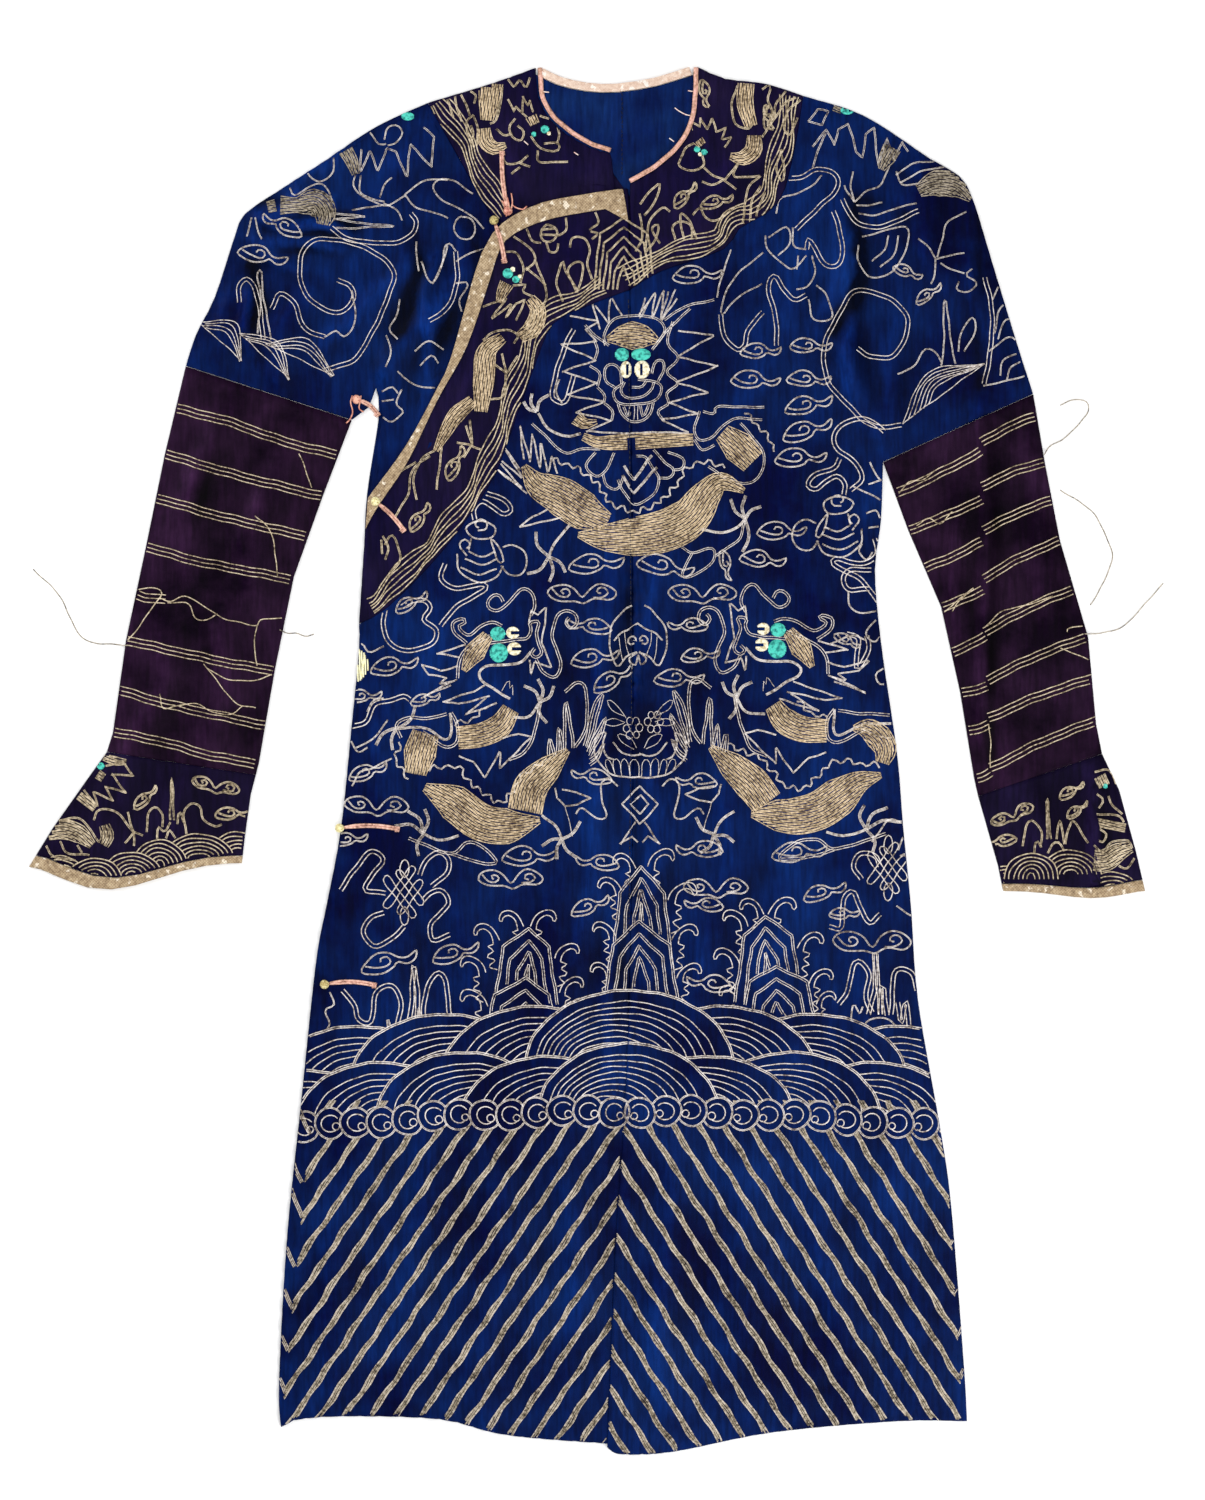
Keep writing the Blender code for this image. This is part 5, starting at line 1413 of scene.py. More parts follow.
RIBBONS = [  # ribbons, plants and edge curls, each a pair of threads
    [(341, 890), (356, 868), (371, 851), (383, 860), (372, 876), (366, 890), (386, 893)],
    [(404, 926), (390, 940), (374, 946), (364, 932), (370, 918), (384, 912)],
    [(423, 900), (432, 892), (442, 891), (449, 903), (440, 914), (430, 926), (433, 940),
        (450, 934)],
    [(420, 875), (428, 858), (440, 852), (449, 860), (446, 874), (432, 886)],
    [(861, 879), (853, 867), (859, 854), (875, 856), (880, 866)],
    [(829, 927), (840, 928), (842, 912), (844, 898), (853, 892), (861, 909), (870, 923),
        (880, 914)],
    [(896, 906), (908, 914), (922, 917)],
    [(343, 990), (354, 1004), (358, 1018), (371, 1021), (377, 992), (392, 985), (401, 1001),
        (396, 1034)],
    [(423, 1034), (426, 992), (437, 973), (446, 983), (450, 1016)],
    [(839, 1004), (847, 990), (853, 966), (860, 962), (869, 974), (865, 998), (872, 1012)],
    [(891, 1014), (893, 978), (900, 969), (912, 973), (917, 990)],
    [(862, 1030), (868, 1020), (878, 1017), (890, 1020), (899, 1031)],
    [(398, 1034), (404, 1024), (414, 1020), (424, 1024), (430, 1033)],
    [(390, 1036), (388, 1018), (394, 1034)],
    [(406, 1030), (412, 1004), (414, 965), (418, 1004), (416, 1030)],
    [(418, 1030), (419, 1006), (424, 1030)],
    [(868, 1014), (874, 990), (875, 952), (878, 990), (880, 1014)],
    [(880, 1014), (882, 986), (887, 1015)], [(850, 1022), (853, 1004), (859, 1014), (862, 1006)],
    [(898, 1002), (901, 1022), (906, 1002), (909, 1026)], [(440, 1030), (444, 1014), (450, 1030)],
    [(385, 610), (384, 626), (388, 640), (400, 650), (418, 649), (434, 642), (437, 630), (424, 620),
        (430, 608), (424, 600), (412, 601), (402, 607)],
    [(345, 640), (352, 650), (362, 644), (370, 652), (384, 646)],
    [(368, 712), (374, 700), (384, 698)],
    [(352, 726), (366, 722), (376, 704), (392, 700), (404, 696), (410, 700)],
    [(356, 748), (372, 740), (388, 720)], [(350, 738), (358, 752), (368, 748)],
    [(352, 786), (360, 772), (374, 768), (392, 758)],
    [(332, 792), (339, 800), (338, 812), (330, 820)], [(328, 836), (336, 846), (334, 860)],
    [(322, 1034), (330, 1024), (326, 1010), (334, 1004), (330, 992)],
    [(871, 570), (851, 570), (843, 579), (849, 590), (869, 589)],
    [(848, 592), (849, 606), (858, 613), (876, 611)],
    [(881, 616), (873, 622), (866, 634), (874, 642), (882, 634)],
    [(866, 636), (868, 652), (856, 668), (858, 640), (846, 634)],
    [(883, 668), (876, 674), (880, 684), (892, 682)], [(830, 644), (852, 636), (866, 640)],
    [(899, 738), (878, 736), (860, 728)], [(904, 824), (888, 820), (872, 842)],
    [(900, 796), (908, 786), (908, 772)],
    [(898, 850), (904, 836), (912, 838), (911, 850), (900, 856)],
    [(884, 432), (866, 420), (846, 422), (834, 436), (838, 450), (856, 464), (862, 480),
        (850, 490)],
    [(868, 484), (884, 480), (896, 486)], [(870, 462), (878, 478), (888, 484)],
    [(852, 486), (868, 494), (880, 500)], [(866, 514), (876, 510), (880, 518)],
    [(868, 528), (882, 526)], [(862, 544), (858, 552), (866, 560), (872, 552)],
    [(562, 404), (556, 392), (560, 380)],
    [(574, 376), (566, 400), (558, 402), (552, 392), (566, 344), (574, 330)],
]
for ribbon in RIBBONS:
    couch_by_length(emblems, ribbon, LONG_RIBBON, hidden_by=hill_covers)
stitch("emblems_and_ribbons", emblems, FRONT, weight=0.78)

# Upper sleeves
# Each upper sleeve carries a broad curling line, part of a dragon over the shoulder, waves
# along the sleeve seam, and long looped cloud tails.
arms, arm_gold = [], []
GOLD_ON_ARMS = [
    ([(281, 206), (300, 206), (316, 203), (325, 214), (324, 226)], [17, 12, 24, 24, 10]),
    ([(268, 208), (276, 206)], [9, 10]), ([(346, 151), (352, 162), (356, 175)], [12, 10, 5]),
    ([(918, 192), (936, 184), (956, 186), (972, 198)], [10, 24, 22, 8]),
    ([(892, 148), (886, 160), (881, 170)], [16, 14, 4]), ([(834, 106), (842, 109)], [8, 8]),
]
for spine, widths in GOLD_ON_ARMS:
    fill(arm_gold, spine, widths)
LONG_TAIL = 78.0           # lines longer than this are double outlines
ARM_PAIRS = [
    [(338, 280), (350, 286), (354, 298), (341, 313), (323, 309), (307, 295), (300, 277), (303, 253),
        (318, 240), (345, 242), (372, 251), (390, 266), (394, 282), (381, 315), (370, 338),
        (354, 360), (325, 371)],
    [(411, 214), (417, 222), (412, 235), (395, 243), (370, 243), (345, 238), (332, 229)],
    [(240, 303), (240, 287), (247, 279), (255, 288), (260, 310), (264, 340)],
    [(272, 309), (280, 294), (294, 303), (305, 328), (325, 338)],
    [(325, 338), (336, 331), (345, 337), (356, 322), (352, 291)],
    [(258, 334), (261, 300), (258, 276), (262, 272), (264, 300), (272, 340)],
    [(361, 176), (360, 192), (368, 198), (385, 202)],
    [(356, 176), (354, 186), (362, 196), (385, 206), (405, 196)],
    [(405, 196), (417, 185), (430, 180), (448, 181)],
    [(405, 196), (417, 208), (434, 213), (448, 219)], [(380, 198), (386, 184), (392, 178)],
    [(384, 204), (396, 210), (402, 221)], [(352, 210), (366, 208), (384, 206)],
    [(384, 140), (388, 128), (397, 126), (402, 134), (396, 144), (388, 146)],
    [(370, 133), (378, 144), (386, 144)],
    [(302, 165), (312, 178), (322, 182), (334, 172), (334, 158)],
    [(290, 188), (296, 196), (318, 184), (328, 190), (334, 205)],
    [(252, 218), (250, 228), (247, 237)], [(256, 218), (258, 230), (262, 240)],
    [(417, 242), (417, 256), (419, 272)],
    [(422, 262), (428, 280), (434, 284), (441, 268), (448, 246)],
    [(473, 194), (455, 182), (440, 180), (433, 188), (440, 199), (462, 210), (474, 219),
        (484, 229)],
    [(462, 217), (472, 220), (475, 230), (470, 239), (460, 239), (454, 230), (456, 221),
        (462, 217)],
    [(456, 252), (450, 244), (444, 249), (442, 266), (433, 285)],
    [(456, 252), (457, 283), (449, 307), (430, 322)], [(456, 262), (470, 254), (484, 250)],
    [(456, 284), (468, 284), (460, 300), (462, 312)],
    [(398, 340), (390, 330), (396, 318), (400, 300)], [(386, 368), (392, 352), (386, 336)],
    [(415, 352), (430, 342), (444, 350)], [(420, 366), (432, 356), (438, 364)],
    [(398, 372), (412, 384), (436, 388), (450, 380)],
    [(402, 390), (396, 404), (404, 412), (396, 420)], [(382, 392), (392, 388), (398, 394)],
    [(378, 402), (394, 400)], [(380, 416), (390, 422), (398, 418)],
    [(857, 349), (870, 357), (891, 357), (905, 338), (907, 318), (891, 300), (870, 292), (852, 294),
        (834, 323), (823, 352), (828, 381), (844, 402), (867, 423), (886, 428), (901, 425)],
    [(897, 374), (905, 371), (915, 365), (925, 350), (935, 352), (942, 364)],
    [(941, 366), (944, 335), (943, 306), (946, 302), (949, 330), (955, 364)],
    [(958, 352), (962, 330), (972, 318), (975, 330), (964, 352)],
    [(984, 278), (990, 300), (991, 340), (984, 384)], [(992, 300), (1000, 286), (1006, 290)],
    [(994, 334), (998, 312), (1006, 304), (1012, 312)], [(998, 340), (1003, 322), (1012, 318)],
    [(988, 352), (1008, 338), (1018, 342)], [(1000, 376), (1002, 362), (1016, 354)],
    [(1006, 380), (1010, 368), (1020, 362)], [(983, 386), (1004, 382), (1024, 376)],
    [(862, 238), (884, 231), (905, 228), (908, 242), (900, 262), (885, 276), (868, 277), (858, 262),
        (858, 246)],
    [(872, 262), (884, 250), (888, 236)], [(880, 268), (894, 254), (898, 236)],
    [(842, 200), (855, 222), (875, 228), (900, 220), (918, 212)],
    [(858, 214), (876, 216), (898, 208), (916, 204)],
    [(854, 203), (865, 192), (881, 185), (889, 166)], [(854, 203), (850, 188), (853, 172)],
    [(854, 203), (846, 192), (844, 186)], [(856, 206), (870, 206), (882, 203)],
    [(896, 176), (912, 164), (934, 162)], [(900, 184), (920, 172), (944, 168)],
    [(896, 172), (902, 186), (918, 184)],
    [(785, 180), (800, 178), (815, 170), (830, 172), (838, 182), (834, 194), (818, 208), (802, 224),
        (796, 230)],
    [(776, 214), (780, 200), (796, 194), (812, 186), (822, 176)],
    [(833, 212), (840, 235), (842, 255), (836, 266), (824, 265), (815, 250), (808, 240),
        (806, 250)],
    [(765, 236), (768, 250), (780, 262), (792, 270), (806, 256)],
    [(768, 238), (786, 228), (790, 244), (778, 256)], [(792, 228), (794, 246), (806, 250)],
    [(796, 270), (798, 256)], [(796, 290), (808, 286), (815, 272), (812, 256)],
    [(731, 250), (722, 275), (717, 298)],
    [(763, 253), (740, 272), (724, 296), (722, 315), (735, 300), (762, 284)],
    [(721, 315), (724, 336), (736, 350), (744, 346), (748, 330), (763, 313)],
    [(776, 346), (776, 320), (768, 290), (774, 277), (784, 290), (794, 300), (806, 296)],
    [(808, 300), (812, 318), (824, 322), (832, 316), (826, 296), (816, 286)],
    [(935, 260), (928, 248), (918, 239)], [(935, 260), (950, 256), (964, 254)],
    [(935, 260), (934, 276), (930, 284)], [(936, 258), (942, 240), (948, 222), (966, 212)],
    [(940, 264), (952, 270), (964, 274)],
    [(958, 282), (956, 290), (968, 292), (976, 284), (966, 276), (972, 270)],
    [(650, 300), (640, 318), (645, 298)], [(668, 292), (662, 318), (676, 290)],
]
for line in ARM_PAIRS:
    couch_by_length(arms, line, LONG_TAIL, LONG_TAIL / 2)
ARM_SPIKES = [
    [(361, 150), (361, 172), (370, 152), (378, 171), (387, 149), (396, 153), (407, 177), (411, 145),
        (432, 168), (434, 138), (424, 128)],
    [(333, 214), (365, 217), (334, 220), (394, 227), (336, 229)],
    [(812, 147), (826, 130), (834, 146), (838, 130), (848, 124), (856, 152), (862, 158), (866, 135),
        (874, 128), (878, 166), (887, 138), (894, 162), (902, 142), (908, 152)],
    [(808, 122), (818, 110), (828, 112), (822, 126), (808, 122)],
    [(812, 168), (818, 150), (826, 134)],
]
for line in ARM_SPIKES:
    couch(arms, line, 2, 1.2, sharp=True)
SEAM_WAVES = [  # where a fan of arcs starts and ends, how far it rises, rows, spacing
    (199, 322, 242, 361, 24, 4, 3.0), (240, 334, 290, 380, 20, 4, 3.0),
    (266, 344, 334, 376, 22, 4, 4.0), (902, 424, 984, 364, 26, 6, 6.5),
]
for u0, v0, u1, v1, rise, rows, spacing in SEAM_WAVES:
    length = hypot(u1 - u0, v1 - v0)
    for row in range(rows):
        share = 1 - row / rows * 0.75
        middle = ((u0 + u1) / 2 + rise * (v1 - v0) / length * share,
                  (v0 + v1) / 2 - rise * (u1 - u0) / length * share)
        inset = row * spacing
        start = (u0 + inset * (u1 - u0) / length, v0 + inset * (v1 - v0) / length)
        couch(arms, [start, middle, (u1 - inset * 0.2, v1 + inset * 0.1)], 1, thick=1.6)
    couch(arms, [(u0, v0), (u1, v1)], 1, thick=1.6)
stitch("upper_sleeve_figures", arms, FRONT, weight=0.64)
stitch("upper_sleeve_gold", arm_gold, FRONT, hem_gold)

# Yoke
# The purple yoke has a small dragon each side of the neck and one below the closure, a
# mountain at the centre, and ropes of waves along its whole lower edge.
yoke_lines, yoke_gold = [], []
YOKE_GOLD = [
    ([(491, 84), (489, 103), (487, 121)], [22, 18, 10]),
    ([(484, 129), (486, 142), (495, 149), (506, 146)], [10, 13, 11, 3]),
    ([(531, 117), (535, 125)], [9, 7]), ([(507, 284), (502, 294), (499, 303)], [12, 9, 3]),
    ([(530, 299), (538, 311), (533, 328), (520, 338)], [8, 14, 16, 9]),
    ([(503, 338), (487, 352), (484, 379), (481, 412)], [8, 19, 18, 10]),
    ([(473, 401), (456, 416), (446, 432), (436, 451)], [9, 14, 10, 3]),
    ([(746, 84), (745, 105), (751, 127)], [14, 14, 10]),
    ([(754, 136), (753, 151), (742, 159), (730, 157)], [11, 15, 13, 4]),
    ([(698, 141), (702, 146)], [8, 6]),
]
for spine, widths in YOKE_GOLD:
    fill(yoke_gold, spine, widths)
YOKE_PAIRS = [
    [(531, 137), (540, 149), (557, 151), (558, 144), (544, 144)],
    [(540, 116), (553, 121), (559, 132), (557, 143)],
    [(515, 119), (510, 128), (513, 138), (521, 141), (524, 132), (518, 126)],
    [(538, 151), (540, 163), (568, 162)], [(502, 151), (506, 164), (520, 164), (528, 156)],
    [(520, 164), (530, 168)], [(520, 168), (512, 175)], [(496, 130), (504, 136), (512, 134)],
    [(498, 104), (496, 120), (490, 124)], [(503, 88), (500, 108), (496, 120)],
    [(474, 116), (467, 122), (468, 134), (474, 148)], [(474, 116), (478, 130), (476, 146)],
    [(471, 126), (474, 134), (472, 142)], [(460, 92), (466, 104), (470, 116)],
    [(454, 94), (458, 110), (462, 122)], [(446, 97), (450, 108), (454, 118)],
    [(468, 90), (476, 96), (474, 104)], [(508, 80), (514, 88), (520, 80), (526, 88), (530, 78)],
    [(549, 225), (556, 229), (557, 236), (551, 242), (543, 240), (541, 232), (545, 226),
        (549, 225)],
    [(543, 230), (555, 229)], [(542, 236), (556, 235)],
    [(546, 243), (549, 252), (556, 252), (558, 244)], [(527, 229), (532, 241), (541, 244)],
    [(566, 218), (566, 230), (558, 236)],
    [(570, 248), (573, 239), (585, 239), (590, 251), (587, 266), (592, 280)],
    [(595, 213), (598, 224), (590, 231), (598, 234), (592, 240)],
    [(563, 302), (557, 284), (559, 270), (563, 262), (566, 272), (577, 293)],
    [(577, 293), (583, 275), (582, 264), (574, 264), (568, 272), (576, 290)],
    [(513, 286), (526, 285), (523, 292), (533, 297)],
    [(506, 252), (517, 254), (523, 269), (521, 284)],
    [(514, 237), (530, 249), (535, 262), (526, 271)], [(526, 268), (536, 276), (546, 286)],
    [(536, 262), (546, 290), (544, 304), (540, 310)],
    [(483, 341), (492, 334), (508, 330), (518, 336), (514, 344)],
    [(490, 400), (503, 397), (506, 374)], [(506, 374), (502, 354)], [(506, 374), (518, 356)],
    [(506, 374), (495, 365)], [(470, 420), (472, 446)], [(472, 446), (457, 443)],
    [(472, 446), (466, 426)], [(472, 446), (482, 450)], [(472, 446), (464, 458)],
    [(436, 450), (421, 460), (414, 480), (417, 500)], [(442, 447), (439, 470), (437, 490)],
    [(395, 518), (408, 495), (412, 472), (430, 456)],
    [(385, 545), (392, 536), (399, 548), (400, 562), (386, 578)],
    [(383, 536), (388, 548), (386, 560)], [(381, 540), (383, 554)],
    [(395, 478), (404, 470), (416, 462)],
    [(682, 156), (679, 166), (692, 172), (703, 166), (702, 156)],
    [(682, 156), (686, 148), (694, 144)], [(724, 181), (712, 176), (704, 168)],
    [(724, 181), (712, 186), (702, 182)], [(724, 181), (736, 190)],
    [(724, 181), (732, 172), (738, 164)], [(738, 164), (734, 178), (760, 176)],
    [(737, 86), (732, 104), (735, 124), (748, 130), (753, 122)],
    [(693, 216), (700, 209), (706, 218), (716, 221), (735, 209)],
    [(675, 240), (672, 228), (680, 222), (690, 226), (692, 240)],
    [(684, 240), (680, 214), (690, 222), (696, 240)],
    [(640, 205), (652, 190), (660, 184), (656, 200), (644, 216)],
    [(645, 250), (650, 222), (662, 208), (670, 212)],
    [(646, 252), (656, 240), (658, 226), (652, 230), (660, 244)],
    [(636, 252), (642, 236), (640, 214)],
    [(762, 90), (770, 86), (768, 100), (772, 112), (766, 130), (764, 116), (770, 104)],
    [(760, 176), (748, 190), (742, 224)], [(760, 186), (752, 202), (750, 222)],
    [(765, 192), (759, 206), (756, 220)],
    [(782, 150), (776, 166), (782, 182), (784, 166), (780, 150)],
    [(800, 100), (788, 112), (784, 128), (790, 136), (797, 118)],
    [(796, 98), (784, 104), (774, 120), (762, 138)], [(786, 92), (776, 104), (774, 118)],
]
for line in YOKE_PAIRS:
    couch(yoke_lines, line, 2, 1.2, step=3.0)
YOKE_SPIKES = [
    [(508, 100), (514, 113), (516, 107), (527, 118)],
    [(523, 113), (523, 97), (528, 106), (530, 101), (533, 113)],
    [(483, 307), (506, 299), (492, 319), (511, 305), (506, 318), (516, 304), (525, 300),
        (516, 321)],
    [(692, 131), (690, 122), (700, 128), (700, 118), (707, 130), (712, 119), (716, 133), (726, 128),
        (722, 140), (731, 138), (724, 148)],
]
for line in YOKE_SPIKES:
    couch(yoke_lines, line, 2, 1.1, sharp=True)
YOKE_CLOUDS = [  # across, down, size, turn
    (455, 466, 0.7, -62), (419, 520, 0.65, -52), (684, 198, 0.62, -44), (715, 203, 0.66, -10),
    (704, 92, 0.55, 84), (768, 116, 0.5, 80),
]
for u, v, size, turn in YOKE_CLOUDS:
    figure(yoke_lines, CLOUD, at(u, v, size, turn), 1.1)
YOKE_PEAK = (624, 219, 30)                           # across, top, half width of its mountain
for ring in range(6):
    middle, apex, wide = YOKE_PEAK[0], YOKE_PEAK[1] + ring * 9.5, YOKE_PEAK[2] - ring * 4.6
    couch(yoke_lines, [(middle - wide, 290), (middle - wide * 0.8, apex + 15), (middle, apex),
                       (middle + wide * 0.8, apex + 15), (middle + wide, 286)], 2, 1.0, sharp=True)
YOKE_EDGES = [
    [(430, 108), (453, 142), (463, 162), (481, 198), (496, 221)],
    [(801, 98), (792, 151), (784, 176), (776, 202), (756, 223), (738, 228), (722, 248), (658, 271),
        (630, 288)],
    [(608, 296), (583, 309), (561, 319), (546, 335), (535, 368), (522, 406), (509, 441), (490, 486),
        (466, 521), (442, 553), (423, 569), (389, 607), (376, 616)],
]
ROPE_ROWS = (2.0, 5.0, 9.5, 13.0, 17.0, 20.5)        # from the yoke's edge inwards
for number, edge in enumerate(YOKE_EDGES):
    side = -1 if number == 0 else 1
    for offset in ROPE_ROWS:
        path = beside(drawn(edge, tremble=0.0, step=6.0), side * offset)
        sway = 2.4 * np.sin(np.arange(len(path)) * 0.5 + offset * 0.14)
        couch(yoke_lines, beside(path, sway[:, None]), 1, thick=1.4)
stitch("yoke_figures", yoke_lines, YOKE, dull_gold)
stitch("yoke_gold", yoke_gold, YOKE, fill_gold)

# Bands round the lower sleeves and the cuffs
# Eight bands of three couched lines ring each lower sleeve, some worked loose. The cuffs have a
# small dragon, clouds, a water plant and waves above the braid.
bands = []
RIGHT_BANDS = [  # ends of each band, across and down
    (176, 409, 338, 455), (165, 454, 323, 496), (156, 498, 307, 536), (146, 547, 292, 579),
    (137, 593, 160, 598), (126, 641, 275, 670), (118, 690, 267, 725), (113, 733, 257, 763),
]
LEFT_BANDS = [  # ends of the part before the lengthwise crease, then of the part beyond it
    (893, 495, 980, 452, 981, 443, 1036, 417), (908, 530, 981, 500, 981, 487, 1045, 463),
    (924, 568, 981, 542, 983, 531, 1052, 501), (941, 607, 982, 590, 983, 579, 1060, 541),
    (955, 651, 984, 636, 984, 632, 1073, 590), (960, 692, 986, 686, 987, 680, 1086, 638),
    (967, 730, 988, 724, 988, 718, 1090, 680), (974, 778, 990, 772, 990, 768, 1094, 722),
]
BAND_GAP, BAND_THICK = 4.2, 1.25
for u0, v0, u1, v1 in RIGHT_BANDS:
    sag = 3.0 * sin(u0 * 0.7)
    couch(bands, [(u0 - 6, v0 - 2), ((2 * u0 + u1) / 3, (2 * v0 + v1) / 3 + sag),
                  ((u0 + 2 * u1) / 3, (v0 + 2 * v1) / 3 + 2), (u1 + 6, v1 + 2)],
          3, BAND_GAP, thick=BAND_THICK)
for u0, v0, u1, v1, u2, v2, u3, v3 in LEFT_BANDS:
    couch(bands, [(u0 - 6, v0 + 3), ((u0 + u1) / 2, (v0 + v1) / 2 + 1.5), (u1, v1)],
          3, BAND_GAP, thick=BAND_THICK)
    couch(bands, [(u2, v2), ((u2 + u3) / 2, (v2 + v3) / 2 - 3), (u3 + 6, v3 - 3)],
          3, BAND_GAP, thick=BAND_THICK)
LOOSE_ON_SLEEVES = [
    [(137, 590), (152, 588), (162, 594), (150, 612), (132, 636), (126, 642)],
    [(160, 598), (172, 602), (186, 596), (204, 606), (222, 618), (240, 622), (257, 626), (262, 620),
        (282, 618)],
    [(168, 603), (188, 604), (196, 618), (206, 620), (218, 614)],
    [(257, 626), (255, 645), (257, 666)], [(299, 454), (306, 470), (312, 488)],
    [(256, 516), (270, 530), (276, 556), (278, 576)],
    [(204, 664), (220, 684), (238, 704), (256, 708)],
    [(208, 668), (230, 680), (256, 680), (272, 674)],
    [(160, 694), (164, 708), (176, 706), (196, 704), (214, 712), (232, 714), (244, 706)],
    [(899, 494), (908, 482), (922, 480), (934, 472)],
    [(916, 526), (928, 518), (940, 524), (952, 512)],
    [(944, 612), (960, 598), (974, 588), (958, 602), (952, 612)],
    [(984, 628), (1000, 612), (1024, 606), (1052, 596)], [(988, 724), (990, 746), (990, 768)],
    [(1066, 632), (1068, 628), (1082, 626)], [(1060, 648), (1074, 654), (1088, 660)],
]
for line in LOOSE_ON_SLEEVES:
    couch(bands, line, 1, thick=1.3, step=3.0)
stitch("sleeve_bands", bands, SLEEVES, dull_gold)

cuff_work = []
CUFF_GOLD = [
    ([(104, 757), (116, 761), (127, 762)], [4, 7, 3]), ([(76, 793), (96, 808)], [6, 6]),
    ([(105, 825), (108, 836), (104, 845)], [8, 11, 8]),
    ([(48, 832), (64, 829), (80, 834), (93, 845)], [14, 18, 16, 6]),
    ([(98, 774), (104, 778)], [7, 6]), ([(1099, 776), (1104, 786)], [10, 9]),
    ([(1095, 822), (1125, 828)], [6, 6]),
    ([(1093, 860), (1105, 860), (1118, 852), (1131, 847)], [18, 20, 16, 8]),
]
for spine, widths in CUFF_GOLD:
    fill(cuff_work, spine, widths)
CUFF_PAIRS = [
    [(94, 820), (98, 811), (108, 809), (120, 815), (134, 832)], [(134, 832), (128, 812)],
    [(134, 832), (143, 836)], [(134, 832), (125, 843)], [(134, 832), (134, 846)],
    [(60, 820), (79, 818), (90, 829), (100, 842)], [(61, 841), (68, 853), (90, 855)],
    [(78, 845), (82, 853)], [(46, 846), (54, 856), (76, 860)],
    [(147, 832), (149, 814), (156, 807), (163, 814), (163, 827)],
    [(187, 834), (184, 814), (191, 804), (200, 807), (204, 819), (215, 826), (222, 824)],
    [(171, 820), (172, 778), (175, 820)], [(158, 839), (159, 827), (165, 831), (171, 822)],
    [(178, 824), (180, 812), (184, 822)], [(166, 838), (170, 830), (176, 838)],
    [(1022, 846), (1026, 826), (1032, 821), (1041, 831), (1040, 847)],
    [(1065, 844), (1069, 826), (1074, 821), (1087, 843)], [(1046, 839), (1047, 799), (1050, 839)],
    [(1034, 853), (1036, 841), (1041, 847)], [(1056, 839), (1060, 820), (1064, 844)],
    [(1047, 853), (1052, 844), (1058, 843), (1064, 851)],
    [(1099, 828), (1106, 834), (1102, 842), (1094, 838)],
    [(1093, 845), (1102, 852), (1112, 842), (1127, 840), (1132, 848)],
    [(1094, 772), (1108, 770), (1116, 784)], [(1108, 796), (1112, 806), (1122, 814)],
    [(1096, 794), (1102, 800), (1098, 808)], [(1094, 814), (1118, 816), (1124, 822)],
    [(1118, 866), (1126, 868), (1134, 858)],
]
for line in CUFF_PAIRS:
    couch(cuff_work, line, 2, 1.2, step=3.0)
couch(cuff_work, [(106, 766), (125, 763), (134, 776), (112, 774), (127, 793), (105, 786),
                  (114, 801), (94, 792), (98, 806), (84, 790)], 2, 1.1, sharp=True)
CUFF_CLOUDS = [  # across, down, size, turn, flip, lobes
    (145, 799, 0.6, -40, 1, 1), (216, 786, 0.72, 12, 1, 2), (231, 814, 0.68, 0, 1, 1),
    (1012, 815, 0.66, -24, 1, 2), (1003, 841, 0.6, -14, -1, 1), (1070, 792, 0.55, -28, 1, 1),
    (1076, 811, 0.5, -34, 1, 1),
]
for u, v, size, turn, flip, lobes in CUFF_CLOUDS:
    figure(cuff_work, CLOUD_KINDS[lobes], at(u, v, size, turn, flip), 1.1)
CUFF_HILLS = [  # across, down to the crest, half width, rise; nearest first
    (95, 858, 28, 24), (132, 852, 30, 26), (160, 840, 28, 26), (199, 834, 34, 24),
    (238, 832, 26, 20), (60, 856, 26, 20), (1031, 853, 27, 26), (1070, 850, 30, 24),
    (1004, 866, 20, 20), (1112, 872, 24, 16),
]
cuff_covers = []
for centre, crest, half, rise in CUFF_HILLS:
    for row in range(6):
        wide, tall = half - row * 4.6, rise - row * 3.9
        if tall > 2:
            arch = rounded(centre, crest + rise, -wide, -tall, 12, 0, pi)
            couch(cuff_work, arch, 1, thick=1.45, hidden_by=cuff_covers, step=3.4)
    cuff_covers.append(hill_cover(centre, crest, half, rise))
stitch("cuff_figures", cuff_work, CUFFS, dull_gold)

# Eyes
# Eyelids are satin stitch in blue-green floss and eyes in cream floss, close rows of thick
# soft thread with a dark slit left open in each eye.


def floss_material(name, bright, dark):
    """Untwisted silk floss: glossy, with darker partings between the stitches."""
    made, tree, shader = node_material(name, 0.38, 0.4)
    partings = mottle(tree, own_place(tree), 300.0, 3.0)
    tint = blended(tree, stretched(tree, partings, 0.35, 0.55), dark, bright)
    feed(shader, {"Base Color": tint, "Normal": raised(tree, partings, 0.4, 0.2 * MM)})
    return made


teal_floss = floss_material("teal_floss", colour(84, 214, 196), colour(20, 130, 124))
cream_floss = floss_material("cream_floss", colour(255, 250, 226), colour(200, 184, 140))


FLOSS_PITCH, FLOSS_THICK = 0.9, 1.15


